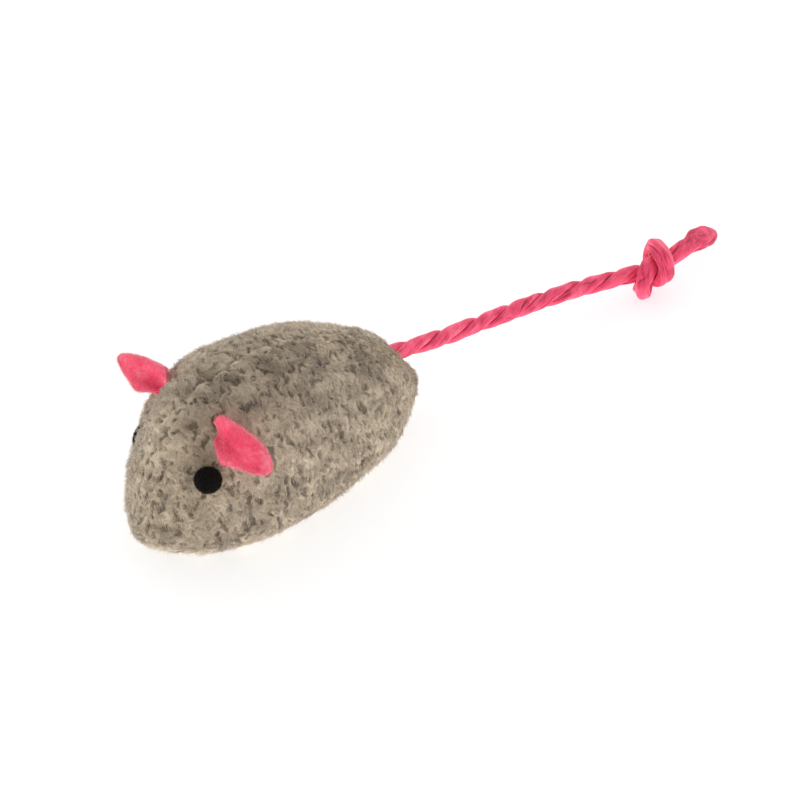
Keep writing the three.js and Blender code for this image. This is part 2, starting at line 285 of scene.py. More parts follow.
# Thin tubes along lines (fibre, station, 3), each closed at its root and drawn to a point at its
# tip. On its map, a fibre's tone is its place across and its height, or else its share of the
# length, is its place upwards, so a colour that depends on both is the same wherever it lies.
def fibreMesh(name, lines, aside, radii, tones, heights=None):
    count, stations, _ = lines.shape
    sides, width = fibreShape["sides"], fibreShape["mapWidth"]
    margin, foot = fibreShape["mapSide"], fibreShape["mapFoot"]
    if heights is None:
        heights = np.tile(np.linspace(0, 1, stations), (count, 1))
    heights = foot + (1 - 2 * foot) * np.clip(heights, 0, 1)
    tone = margin + (1 - 2 * margin - width) * np.clip(tones, 0, 1)[:, None, None]
    ahead = unit(np.gradient(lines, axis=1))
    first = unitAcross(aside[:, None], ahead)
    second = np.cross(ahead, first)
    turns = 2 * np.pi * np.arange(sides) / sides
    rings = stations - 1
    spread = (np.cos(turns)[:, None] * first[:, :rings, None]
              + np.sin(turns)[:, None] * second[:, :rings, None])
    tubes = lines[:, :rings, None] + spread * radii[:, :rings, None, None]
    points = np.concatenate([tubes.reshape(count, -1, 3), lines[:, -1:]], axis=1)
    each = rings * sides + 1
    ring = np.arange(sides)
    last = (rings - 1) * sides
    walls = gridFaces(rings, sides, True)
    tip = np.stack([last + ring, last + (ring + 1) % sides, np.full(sides, each - 1)], axis=-1)
    starts = (np.arange(count) * each)[:, None, None]
    faces = [(part + starts).reshape(-1, part.shape[1]) for part in (walls, tip, ring[None, ::-1])]
    low = np.repeat(heights[:, :rings - 1], sides, axis=1)
    high = np.repeat(heights[:, 1:rings], sides, axis=1)
    wallSide = np.tile(ring, rings - 1)[:, None]
    wallUv = (tone + width / sides * (wallSide + [0, 1, 1, 0]),
              np.stack([low, low, high, high], axis=-1))
    tipUv = (tone + width / sides * (ring[:, None] + [0, 1, 0.5]), heights[:, None, [-2, -2, -1]])
    rootUv = (tone + width * (0.5 - 0.5 * np.cos(turns)),
              heights[:, :1, None] + fibreShape["mapRoot"] * (1 + np.sin(turns)))
    uv = np.concatenate([np.stack(np.broadcast_arrays(*part), axis=-1).reshape(-1, 2)
                         for part in (wallUv, tipUv, rootUv)])
    return flatMesh(name, points.reshape(-1, 3), faces, uv)


# Lines that leave the surface at an angle lean, bend over by drop on their way, and turn sideways
# by curl, each step going on in the direction of its middle.
def curlingLines(roots, normal, ahead, length, lean, drop, curl, stations):
    aside = np.cross(normal, ahead)
    lines = [roots]
    for step in range(stations - 1):
        share = (step + 0.5) / (stations - 1)
        rise = (lean - drop * share)[:, None]
        turn = (curl * share)[:, None]
        heading = np.cos(turn) * ahead + np.sin(turn) * aside
        way = np.cos(rise) * heading + np.sin(rise) * normal
        lines.append(lines[-1] + way * (length / (stations - 1))[:, None])
    return np.stack(lines, axis=1)


# Short fibres that start a little under a surface and lie every way on it, at random lengths and
# angles within the ranges that a dictionary gives, and narrow towards their tips.
def fuzzMesh(name, roots, normal, fuzz, rng):
    count = len(roots)
    lie = unitAcross(rng.normal(size=roots.shape), normal)
    length = fuzz["length"] * rng.uniform(*fuzz["lengthRange"], count)
    lean, drop, curl = [np.radians(rng.uniform(*fuzz[angle], count))
                        for angle in ("lean", "drop", "curl")]
    lines = curlingLines(roots, normal, lie, length, lean, drop, curl, len(fuzz["taper"]) + 1)
    radii = fuzz["radius"] * np.array(fuzz["taper"]) * np.ones((count, 1))
    return fibreMesh(name, lines, np.cross(normal, lie), radii, rng.uniform(0, 1, count))


# Materials

# A number or a colour on its way through the nodes. Plain arithmetic adds Math nodes.
class Socket:
    def __init__(self, nodes, link):
        self.nodes = nodes
        self.link = link

    def maths(self, operation, first, second):
        return self.nodes.add("Math", {"operation": operation}, first, second)

    def __add__(self, other):
        return self.maths("ADD", self, other)

    def __radd__(self, other):
        return self.maths("ADD", other, self)

    def __sub__(self, other):
        return self.maths("SUBTRACT", self, other)

    def __rsub__(self, other):
        return self.maths("SUBTRACT", other, self)

    def __mul__(self, other):
        return self.maths("MULTIPLY", self, other)

    def __rmul__(self, other):
        return self.maths("MULTIPLY", other, self)


# One material, with a principled shader whose own sockets hold what is the same all over.
class Finish:
    def __init__(self, name, roughness, **plain):
        self.material = bpy.data.materials.new(name)
        self.material.use_nodes = True
        self.tree = self.material.node_tree
        self.shader = self.tree.nodes["Principled BSDF"]
        self.shader.inputs["Roughness"].default_value = roughness
        for socket, value in plain.items():
            self.shader.inputs[socket.replace("_", " ")].default_value = value

    # Any node: its type, its settings, and the values or links of its sockets by place or name.
    def add(self, kind, settings, *inputs, out=0, **named):
        node = self.tree.nodes.new("ShaderNode" + kind)
        for setting, value in settings.items():
            if setting == "stops":
                self.setStops(node.color_ramp, value)
            else:
                setattr(node, setting, value)
        for socket, value in [*enumerate(inputs), *named.items()]:
            target = node.inputs[socket.replace("_", " ") if isinstance(socket, str) else socket]
            if isinstance(value, Socket):
                self.tree.links.new(value.link, target)
            else:
                target.default_value = value
        return Socket(self, node.outputs[out])

    # Puts a ramp's stops in place, and adds those that it lacks.
    def setStops(self, ramp, stops):
        while len(ramp.elements) < len(stops):
            ramp.elements.new(1)
        for element, (place, colour) in zip(ramp.elements, stops):
            element.position = place
            element.color = (*colour, 1)

    def objectPlace(self):
        return self.add("TexCoord", {}, out="Object")

    # A vertex mark, as a number, or as a vector with out.
    def mark(self, name, out="Fac"):
        return self.add("Attribute", {"attribute_name": name}, out=out)

    # The three numbers of a vector or a colour.
    def parts(self, vector):
        node = self.add("SeparateXYZ", {}, vector)
        return [Socket(self, output) for output in node.link.node.outputs]

    # A fibre's tone and its height, from its place on its map.
    def toneAndHeight(self):
        return self.parts(self.add("UVMap", {"uv_map": "OFBake"}))[:2]

    def noise(self, place, scale, detail=3.0, roughness=0.55, distortion=0.0):
        return self.add("TexNoise", {}, Vector=place, Scale=scale, Detail=detail,
                        Roughness=roughness, Distortion=distortion)

    # One colour mixed with another, each a link or three numbers.
    def mix(self, factor, first, second, blend="MIX"):
        node = self.tree.nodes.new("ShaderNodeMix")
        node.data_type = "RGBA"
        node.blend_type = blend
        for socket, value in ((0, factor), (6, first), (7, second)):  # its colour sockets are 6 and 7
            if isinstance(value, Socket):
                self.tree.links.new(value.link, node.inputs[socket])
            elif socket:
                node.inputs[socket].default_value = (*value, 1)
            else:
                node.inputs[socket].default_value = value
        return Socket(self, node.outputs[2])

    def ramp(self, factor, stops):
        return self.add("ValToRGB", {"stops": stops}, factor)

    def bump(self, height, distance, strength=1.0):
        self.feed("Normal", self.add("Bump", {}, Height=height, Distance=distance, Strength=strength))

    # Leads a value into one of the shader's sockets.
    def feed(self, socket, value):
        self.tree.links.new(value.link, self.shader.inputs[socket])


# Body: the skin that the pile reaches to

body = {
    "length": 0.048,
    "width": 0.0254,
    "height": 0.0254,
    "widestShare": 0.37,  # of the length, from the nose
    "crestShare": 0.34,
    "hipShare": 0.225,  # of the height, where a cross-section is widest
    "noseSidePower": 0.64,
    "rumpSidePower": 0.58,
    "noseCrownPower": 0.62,
    "rumpCrownPower": 0.7,
    "bellyPower": 4,
    "bellyCornerPower": 0.8,
    "baseSink": 0.0012,
    "lump": 0.00026,  # how far the stuffing pushes the cloth in and out
    "lumpLength": 0.0085,
}

places = {
    "earUpper": (0.235, 59.5),  # share of the length and angle up from the hip
    "earLower": (0.212, 49.7),
    "eyeLeft": (0.149, 35.8),
    "eyeRight": (0.124, 32.5),
    "cheek": (0.172, 55),
    "dartTop": (0.285, 90),
    "saddleShade": (0.437, 66),  # where painted shade darkens the fleece
    # painted shade: a dark spot where the darts meet at the crown
    "crownShade": (0.306, 78),
}


# From 0 at the nose to 1 at the fullest share and back to 0 at the rump: 1 less the square of the
# share of the way from the fullest, to a power for each end.
def swell(share, fullest, nosePower, rumpPower):
    run = np.where(share < fullest, (fullest - share) / fullest, (share - fullest) / (1 - fullest))
    return np.clip(1 - run ** 2, 0, 1) ** np.where(share < fullest, nosePower, rumpPower)


# Half the width, and the height above and below the hip, of the cross-section at a share of the
# length, with the skin moved in by inset.
def halfSizes(share, inset=0.0):
    hip = body["height"] * body["hipShare"]
    side = (body["width"] / 2 - inset) * swell(
        share, body["widestShare"], body["noseSidePower"], body["rumpSidePower"])
    crown = (body["height"] - hip - inset) * swell(
        share, body["crestShare"], body["noseCrownPower"], body["rumpCrownPower"])
    middle = np.abs(2 * share - 1) ** body["bellyPower"]
    belly = (hip + body["baseSink"] - inset) * np.clip(1 - middle, 0, 1) ** (1 / body["bellyPower"])
    return side, crown, belly


# The skin at a share of the length and an angle up from the hip, moved in by inset. The half width
# and the crown swell to their fullest and back, the belly is nearly flat, and each cross-section
# is an ellipse above the hip and a rounded box below it.
def bodyPoint(share, angle, inset=0.0):
    hip = body["height"] * body["hipShare"]
    side, crown, belly = halfSizes(share, inset)
    across, up = np.cos(angle), np.sin(angle)
    power = np.where(up < 0, body["bellyCornerPower"], 1)
    x = side * signedPower(across, power)
    y = (share - 0.5) * (body["length"] - 2 * inset) + 0 * x
    z = hip + np.where(up < 0, -belly * np.abs(up) ** power, crown * up)
    return np.stack([x, y, np.maximum(z, inset * (up < 0))], axis=-1)


# The way out from the skin: across a small step along it and a small step round it.
def bodyNormal(share, angle):
    share = np.clip(share, 2 * nudge, 1 - 2 * nudge)
    along = bodyPoint(share + nudge, angle) - bodyPoint(share - nudge, angle)
    around = bodyPoint(share, angle + nudge) - bodyPoint(share, angle - nudge)
    return unit(np.cross(along, around))


# A named place on the skin and the way out from it, on the left side, or with -1 on the right.
def onBody(name, mirror=1):
    share, angle = np.array(places[name][0]), np.radians(places[name][1])
    return bodyPoint(share, angle) * [mirror, 1, 1], bodyNormal(share, angle) * [mirror, 1, 1]


# Shares of the length and angles, evenly from one named place to another.
def placesBetween(first, second, steps):
    shares, angles = (np.linspace(*pair, steps) for pair in zip(places[first], places[second]))
    return shares, np.radians(angles)


# Seams and dents in the skin

seams = {  # how deep each is drawn in, and over what width
    "dart": (0.0007, 0.0009),
    "back": (0.00016, 0.0007),
    "base": (0.0005, 0.0008),
    "rump": (0.0008, 0.0022),
    "cheek": (0.0007, 0.0021),
    "eye": (0.0007, 0.002),  # under the right eye, which is pressed deeper
    "dartSteps": 12,
    "backShares": (0.5, 0.7),  # shares of the height over which the seam of the back starts
    "backRear": (-0.004, 0.004),  # and how far back it starts lower down
    "baseHeight": 0.0023,
}


# The line of a dart, from an ear's upper root to the middle of the back.
def dartLine(mirror):
    return bodyPoint(*placesBetween("earUpper", "dartTop", seams["dartSteps"])) * [mirror, 1, 1]


# How deep a seam or a dent draws the skin in at a gap from it, as a bell.
def drawnIn(name, gap):
    depth, width = seams[name]
    return depth * bell(gap, width)


# How far the skin is moved out at each point: lumps of stuffing, less each seam and dent.
def relief(points):
    depth = body["lump"] * waves(points, body["lumpLength"], 3)
    dents = [("rump", tailExit), ("eye", onBody("eyeRight", -1)[0])]
    for mirror in (1, -1):
        dents += [("dart", dartLine(mirror)), ("cheek", onBody("cheek", mirror)[0])]
    for name, spots in dents:
        gap = np.linalg.norm(points[..., None, :] - spots, axis=-1).min(axis=-1)
        depth -= drawnIn(name, gap)
    depth -= drawnIn("base", points[..., 2] - seams["baseHeight"])
    seamed = np.maximum(smooth(points[..., 2] / body["height"], *seams["backShares"]),
                        smooth(points[..., 1], *seams["backRear"]))
    return depth - drawnIn("back", points[..., 0]) * seamed


# Tail: where the cord runs

cord = {
    "diameter": 0.0022,
    "rootLength": 0.009,  # held inside the rump
    "route": [  # towards the left, back from the rump's end, and above the floor
        (0, 0, 0.0095),
        (0.0001, 0.003, 0.0088),
        (0.0003, 0.007, 0.0081),
        (0.0005, 0.0112, 0.0075),
        (0.0007, 0.0154, 0.0069),
        (0.001, 0.0196, 0.0064),
        (0.0013, 0.0238, 0.0058),
        (0.0016, 0.0278, 0.0051),
        (0.0021, 0.0316, 0.0044),
        (0.0027, 0.0351, 0.0039),
        (0.0033, 0.0379, 0.0036),
    ],
    "tie": [  # the loose knot, placed as the route is
        (0.0041, 0.0384, 0.0036),
        (0.0048, 0.0393, 0.0031),
        (0.0055, 0.0401, 0.0025),
        (0.0063, 0.0405, 0.0025),
        (0.007, 0.0404, 0.0035),
        (0.0071, 0.0401, 0.0051),
        (0.0065, 0.0401, 0.0065),
        (0.0054, 0.0403, 0.0073),
        (0.004, 0.0409, 0.0072),
        (0.003, 0.0417, 0.0059),
        (0.0028, 0.0419, 0.0041),
        (0.003, 0.0414, 0.0029),
        (0.0035, 0.0404, 0.0024),
        (0.0043, 0.0392, 0.0023),
        (0.0052, 0.0379, 0.0026),
        (0.0056, 0.0374, 0.0037),
        (0.0055, 0.0379, 0.0051),
        (0.005, 0.0394, 0.0054),
        (0.0047, 0.0409, 0.0047),
        (0.0049, 0.0421, 0.0045),
        (0.0051, 0.0432, 0.0048),
        (0.0051, 0.0444, 0.005),
        (0.0049, 0.0458, 0.005),
    ],
    "squeeze": 0.85,  # how near two turns come, as a share of the diameter, before the clearance
    "clearance": 0.0005,
    "spacings": 1.5,  # stretches with fewer of these between them don't push each other apart
    "beads": 64,  # steps that the knot is pulled tight in, how often, and pushes after each pull
    "pulls": 10,
    "pushes": 8,
    "endLength": 0.0075,
    "endTip": (0.0033, 0.0533, 0.0028),
    "joinGap": 0.0003,  # between the last point of one stretch and the first of the next
    "spanSteps": 24,
    "routeSteps": 160,
    "knotSteps": 200,
    "endSteps": 24,  # along the held end, and along the tip
    "exitSink": 0.0004,  # how far inside the rump's end it leaves the fleece
    "exitHeight": 0.0096,
    "easings": 6,  # how often the line is smoothed before the plies are laid along it
    "bendLength": 0.007,  # a length along the cord
}


# Points evenly spaced by length on a Catmull-Rom curve with centripetal knots, whose ends run on
# straight: each span is a cubic that leaves and arrives along its neighbours' directions.
def curveThrough(points, count):
    points = np.asarray(points, float)
    ends = np.vstack([2 * points[0] - points[1], points, 2 * points[-1] - points[-2]])
    steps = np.maximum(np.linalg.norm(np.diff(ends, axis=0), axis=1) ** 0.5, tiny)
    share = np.linspace(0, 1, cord["spanSteps"], endpoint=False)[:, None]
    spans = []
    for start in range(len(points) - 1):
        first, second, third, fourth = ends[start:start + 4]
        before, middle, after = steps[start:start + 3]
        leave = ((second - first) / before - (third - first) / (before + middle)
                 + (third - second) / middle) * middle
        arrive = ((third - second) / middle - (fourth - second) / (middle + after)
                  + (fourth - third) / after) * middle
        spans.append(
            (2 * share ** 3 - 3 * share ** 2 + 1) * second
            + (share ** 3 - 2 * share ** 2 + share) * leave
            + (3 * share ** 2 - 2 * share ** 3) * third
            + (share ** 3 - share ** 2) * arrive)
    return evenly(np.vstack([*spans, points[-1:]]), count)


# Shortens a loose knot like a stretched band, and pushes apart any two stretches that come nearer
# than their spacing, until it is tight.
def pullTight(tie, spacing):
    beads = curveThrough(tie, cord["beads"] + 1)
    order = np.arange(len(beads))
    for _ in range(cord["pulls"]):
        middle = (beads[:-2] + beads[2:]) / 2
        beads[1:-1] = (beads[1:-1] + middle) / 2
        apart = math.ceil(cord["spacings"] * spacing / np.linalg.norm(beads[1] - beads[0]))
        far = np.abs(order[:, None] - order) >= apart
        for _ in range(cord["pushes"]):
            offset = beads[:, None] - beads
            gap = np.linalg.norm(offset, axis=-1) + tiny
            lack = np.where(far, np.maximum(spacing - gap, 0), 0)
            push = (offset * (lack / gap)[..., None] / 2).sum(axis=1)
            crowd = np.maximum((lack > 0).sum(axis=1), 1)[:, None]
            beads[1:-1] += (push / crowd ** 0.5)[1:-1]
        beads = evenly(beads, len(beads))
    return beads


# The cord's whole middle line, which is its held end, its free stretch, the knot and a curved
# tip, with the number of points up to the end of each.
def tailLine():
    rump = np.array([0, body["length"] / 2, 0])
    free = curveThrough(np.array(cord["route"]) + rump, cord["routeSteps"])
    back = np.linspace(cord["rootLength"], cord["joinGap"], cord["endSteps"])[:, None]
    held = free[0] - unit(free[1] - free[0]) * back
    spacing = cord["diameter"] * cord["squeeze"] + cord["clearance"]
    knotStart = free[-1] + unit(free[-1] - free[-2]) * cord["joinGap"]
    knot = pullTight(np.vstack([knotStart, np.array(cord["tie"]) + rump]), spacing)
    knot = curveThrough(knot, cord["knotSteps"])
    start = knot[-1]
    bend = start + unit(knot[-1] - knot[-2]) * cord["endLength"] / 3
    tip = np.array(cord["endTip"]) + rump
    share = np.linspace(0, 1, cord["endSteps"])[1:, None]
    end = (1 - share) ** 2 * start + 2 * share * (1 - share) * bend + share ** 2 * tip
    stretches = (held, free, knot, end)
    return np.vstack(stretches), np.cumsum([len(stretch) for stretch in stretches])


tailExit = np.array([0, body["length"] / 2 - cord["exitSink"], cord["exitHeight"]])
cordLine, cordMarks = tailLine()
print("tail routed:", len(cordLine), "points")


# Tail: two plies of crumpled paper laid round each other

paper = {
    "pitch": 0.01216,  # one whole turn of the two plies
    "phase": 0.47,  # radians, how far the plies have turned at the start
    "sway": 0.3,  # radians, how unevenly they are laid
    "swayLength": 0.008,
    "plyOffset": 0.0005,  # from the cord's middle to a ply's middle
    "plyRadius": 0.00065,
    "plyWide": 0.00096,  # half a ply's width, across its offset
    "plyPower": 0.8,  # under 1 makes a ply fuller where it meets the other
    "plyApart": 0.1,  # between the two plies' paper, laid out flat
    "sides": 56,
    "ringSpacing": 0.00014,
    "creases": 5,  # folds round a ply
    "creaseDepth": 0.12,  # of the ply's radius
    "creaseWidth": 0.1,  # radians
    "creaseUneven": 0.1,  # of a turn, between one fold and the next
    "creaseSway": 0.9,  # radians
    "creaseSwayLength": 0.007,
    "creaseDrift": (60, 430),  # radians to the metre
    "creaseLength": 0.0028,
    "creaseRange": (-0.35, 0.6),  # of the field that opens and closes a fold
    "seamShadeStrength": 0.7,  # how dark the painted shade is where the plies meet, next to a fold
    "seamReach": 0.00012,  # how near the other ply it starts, and where it is full
    "seamFull": 0.000024,
    "uneven": 0.08,  # of the ply's radius, along its length
    "unevenLength": 0.0055,
    "crumple": 0.045,  # of the ply's radius
    "crumpleLength": 0.0016,
    "crumpleStretch": 0.45,  # how much finer it is round the ply than along it
    "knotFrom": (-0.001, 0.0015),  # where the knot's own form comes in, from its start
    "knotTo": (-0.005, -0.002),  # and where it ends, from its end
    "knotMiddleTo": -0.004,
    "knotPower": 0.5,
    "knotSeamShade": 0.45,
    "knotCrumple": 0.1,
    "knotSwell": 0.97,
    "knotWide": 1.1,  # the cord is pressed flat against the knot
    "knotThick": 0.9,
    "knotPitch": 2.3,  # times the pitch, where the twist has been pulled out
    "knotShade": 0.6,  # how much of the cut end's painted shade the knot has
    "endFrom": -0.003,  # where the cut end starts to open, from the knot's end
    "endFull": -0.004,  # where it is fully open, from the tip
    "endSwell": 1.1,
    "endWide": 1.42,
    "endThick": 0.62,
    "endWay": (0.5, -0.45, 0.74),  # the way along which it is flat
    "endPitch": 3.5,
    "endOpen": 0.45,
    "endTaper": 0.0045,  # length over which the tip narrows to its round end
    "taperPower": 2.4,
    "roundPower": 0.55,
    "tipLeast": 0.02,
    "lap": 0.00001,  # half the space between the plies
    "floorGap": 0.00005,  # where the knot is pressed flat on the floor
    "heldStrips": 2,  # strips of the map that each part's length is cut into
    "strips": 14,
}


# Two directions across a line, carried on from one point to the next without twisting.
def carriedFrames(line):
    ahead = unit(np.gradient(line, axis=0))
    side = np.empty_like(ahead)
    side[0] = unit(np.cross(ahead[0], [0, 0, 1]))
    for step in range(1, len(line)):
        side[step] = unitAcross(side[step - 1], ahead[step])
    return side, np.cross(ahead, side)


# How deep in a fold each point of a ply lies, from 0 to 1. Every fold is a bell across a line that
# drifts and wanders round the ply as it runs along, and it opens and closes on its way.
def plyFolds(run, sides, ply):
    rng = np.random.default_rng(11 + ply)
    folds = np.zeros((len(run), len(sides)))
    for crease in range(paper["creases"]):
        start = crease / paper["creases"] + paper["creaseUneven"] * rng.uniform()
        sway = wavesAlong(run, paper["creaseSwayLength"], 20 + 7 * crease + ply, crease)
        drift = run * rng.uniform(*paper["creaseDrift"])
        wander = 2 * np.pi * start + paper["creaseSway"] * sway + drift
        field = wavesAlong(run, paper["creaseLength"], 50 + 5 * crease + ply, crease)
        gap = np.angle(np.exp(1j * (sides - wander[:, None])))
        folds += smooth(field, *paper["creaseRange"])[:, None] * bell(gap, paper["creaseWidth"])
    return folds


# Rings of one ply. Its section is an ellipse that sits off the cord's middle and is flat where it
# meets the other ply, it is dented by its folds, and it is crumpled and uneven. The paper laid out
# flat is given with them, and a mark of painted shade: the depth of the folds and a dark line where
# the plies meet.
def plyRings(line, run, lay, opened, loose, ply, size):
    side, other = carriedFrames(line)
    angle = (lay + np.pi * ply)[:, None]
    out = (np.cos(angle) * side + np.sin(angle) * other)[:, None]
    across = (-np.sin(angle) * side + np.cos(angle) * other)[:, None]
    sides = 2 * np.pi * np.arange(paper["sides"]) / paper["sides"]
    folds = plyFolds(run, sides, ply)
    unrolled = np.stack(np.broadcast_arrays(
        paper["plyRadius"] * np.cos(sides),
        paper["plyWide"] * np.sin(sides),
        run[:, None] + paper["plyApart"] * ply,
    ), axis=-1)
    uneven = 1 + paper["uneven"] * wavesAlong(run, paper["unevenLength"], 90 + ply)
    crumpled = waves(unrolled * [1, 1, paper["crumpleStretch"]], paper["crumpleLength"], 95)
    crumple = between(paper["crumple"], paper["knotCrumple"], loose)[:, None] * crumpled
    radius = (size * uneven)[:, None] * (1 - paper["creaseDepth"] * folds + crumple)
    offset = (paper["plyOffset"] * size * opened)[:, None]
    outward = offset + paper["plyRadius"] * radius * np.cos(sides)
    meeting = 1 - smooth(outward, paper["seamFull"], paper["seamReach"])
    seamShade = between(paper["seamShadeStrength"], paper["knotSeamShade"], loose)[:, None]
    outward = np.maximum(outward, paper["lap"])
    power = between(paper["plyPower"], paper["knotPower"], loose)[:, None]
    sideways = paper["plyWide"] * radius * signedPower(np.sin(sides), power)
    points = line[:, None] + outward[..., None] * out + sideways[..., None] * across
    return points, unrolled, np.maximum(folds, seamShade * meeting)


# Rings with their offsets from the middle line stretched across a way and flattened along it.
def pressed(points, line, way, wide, thick):
    ahead = unit(np.gradient(line, axis=0))
    way = unitAcross(way, ahead)[:, None]
    broad = np.cross(ahead, way[:, 0])[:, None]
    offset = points - line[:, None]
    flat = (offset * way).sum(-1, keepdims=True) * way
    spread = (offset * broad).sum(-1, keepdims=True) * broad
    offset = offset + flat * (thick - 1)[:, None, None] + spread * (wide - 1)[:, None, None]
    return line[:, None] + offset


# One part of the cord: both plies as closed tubes on one mesh. The share of the knot's form and of
# the cut end's form at each point decide the twist, the size and how flat the cord is pressed.
def cordPiece(name, line, run, marks, strips):
    knotStart, knotEnd, whole = marks
    inKnot = smooth(run, *(knotStart + place for place in paper["knotFrom"])) * (
        1 - smooth(run, *(knotEnd + place for place in paper["knotTo"])))
    flare = smooth(run, knotEnd + paper["endFrom"], whole + paper["endFull"])
    loose = np.maximum(inKnot, flare)
    turning = 1 / (1 + (paper["knotPitch"] - 1) * inKnot + (paper["endPitch"] - 1) * flare)
    turned = np.concatenate([[run[0]], run[0] + np.cumsum(np.diff(run) * turning[1:])])
    lay = (paper["phase"] - 2 * np.pi / paper["pitch"] * turned
           + paper["sway"] * wavesAlong(run, paper["swayLength"], 97))
    tipShare = np.clip((run - whole + paper["endTaper"]) / paper["endTaper"], 0, 1)
    rounding = np.clip(1 - tipShare ** paper["taperPower"], paper["tipLeast"], 1)
    rounding = rounding ** paper["roundPower"]
    size = 1 + (paper["knotSwell"] - 1) * inKnot + (paper["endSwell"] - 1) * flare
    middle = line[(run > knotStart) & (run < knotEnd + paper["knotMiddleTo"])]
    fromKnot = line - (middle.mean(axis=0) if len(middle) else line[-1])
    points, unrolled, folds, deep, walls, fans, wallUv, tipUv = [], [], [], [], [], [], [], []
    for ply in (0, 1):
        rings, flat, fold = plyRings(
            line, run, lay, between(1, paper["endOpen"], flare), loose, ply, size * rounding)
        rings = pressed(rings, line, fromKnot, between(1, paper["knotWide"], inKnot),
                        between(1, paper["knotThick"], inKnot))
        rings = pressed(rings, line, 0 * line + paper["endWay"], between(1, paper["endWide"], flare),
                        between(1, paper["endThick"], flare))
        rings[..., 2] = np.maximum(rings[..., 2], paper["floorGap"])
        rows, columns = rings.shape[:2]
        wall, fan = tubeFaces(rows, columns)
        start = ply * (rows * columns + 2)
        walls.append(wall + start)
        fans.append(fan + start)
        wallUv.append(stripUv(rows, columns, strips) * [0.5, 1] + [0.5 * ply, 0])
        tipUv.append(fanUv(len(fan), 0.5) * [0.5, 1] + [0.5 * ply, 0])
        for found, grid in ((points, rings), (unrolled, flat)):
            found += [grid.reshape(-1, 3), grid[[0, -1]].mean(axis=1)]
        # the fold mark carries painted shade in the folds and where the plies meet
        folds += [fold.ravel(), [0, 0]]
        # painted shade: the paper is darkened in the knot and at the cut end
        deep += [np.repeat(paper["knotShade"] * inKnot + flare, columns), [0, 0]]
    return flatMesh(name, np.vstack(points), walls + fans, np.vstack(wallUv + tipUv),
                    {"unrolled": np.vstack(unrolled), "fold": np.concatenate(folds),
                     "deep": np.concatenate(deep)})


# Crumpled paper: mottle, streaks and grain that are drawn out along the strand, with painted shade
# that darkens it in its folds, where the plies meet, in the knot and at the cut end.
def paperFinish():
    finish = Finish("paperCord", 0.62, Specular_IOR_Level=0.35, Sheen_Weight=0.1, Sheen_Roughness=0.45)
    strand = finish.mark("unrolled", "Vector")
    streaked = finish.add("VectorMath", {"operation": "MULTIPLY"}, strand, (1.0, 1.0, 0.16))
    grain = finish.noise(streaked, 5200, detail=4, roughness=0.6)
    mottle = finish.noise(strand, 560, detail=3, roughness=0.55)
    streak = finish.noise(streaked, 1900, detail=3, roughness=0.6)
    fold = finish.mark("fold")
    # painted shade in the knot and at the tip lowers the tone
    tone = 0.42 * mottle + 0.33 * streak + 0.25 * grain - 0.07 * finish.mark("deep")
    colour = finish.ramp(tone, [
        (0.36, (0.55, 0.024, 0.08)),
        (0.48, (0.85, 0.068, 0.16)),
        (0.6, (0.98, 0.14, 0.24)),
        (0.72, (1.0, 0.28, 0.36)),
    ])
    # painted shade: the colour is darkened in the folds and along the line where the plies meet
    crease = finish.ramp(fold, [(0.15, (1, 1, 1)), (0.95, (0.62, 0.2, 0.4))])
    finish.feed("Base Color", finish.mix(1.0, colour, crease, "MULTIPLY"))
    finish.feed("Roughness", 0.5 + 0.3 * grain)
    finish.bump(grain + 0.6 * finish.noise(streaked, 1500, detail=2, roughness=0.5),
                distance=0.00011, strength=0.8)
    return finish.material


# The cord in two pieces, the held one in the rump and the free one behind it. The line is eased by
# taking half of each point and a quarter of each neighbour.
def addTail():
    run = runOf(cordLine)
    fineRun = np.linspace(0, run[-1], int(run[-1] / paper["ringSpacing"]))
    fine = pointsAt(cordLine, fineRun)
    for _ in range(cord["easings"]):
        fine[1:-1] = fine[1:-1] / 2 + (fine[:-2] + fine[2:]) / 4
    marks = (run[cordMarks[1]], run[cordMarks[2] - 1], run[-1])
    leaves = int(np.argmin(np.abs(fineRun - run[cordMarks[0]])))
    finish = paperFinish()
    held = cordPiece("cord_held_end", fine[:leaves + 1], fineRun[:leaves + 1], marks,
                     paper["heldStrips"])
    finishPiece(held, "body", "paper_cord", finish, "tail_root")
    path = fine[leaves:]
    tail = cordPiece("paper_cord", path, fineRun[leaves:], marks, paper["strips"])
    finishPiece(tail, None, "paper_cord", finish, "tail_cord", "tail_knot", "tail_end")
    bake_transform(tail)


addTail()


# Fleece: the cloth, whose nap is felted into locks with clefts between them

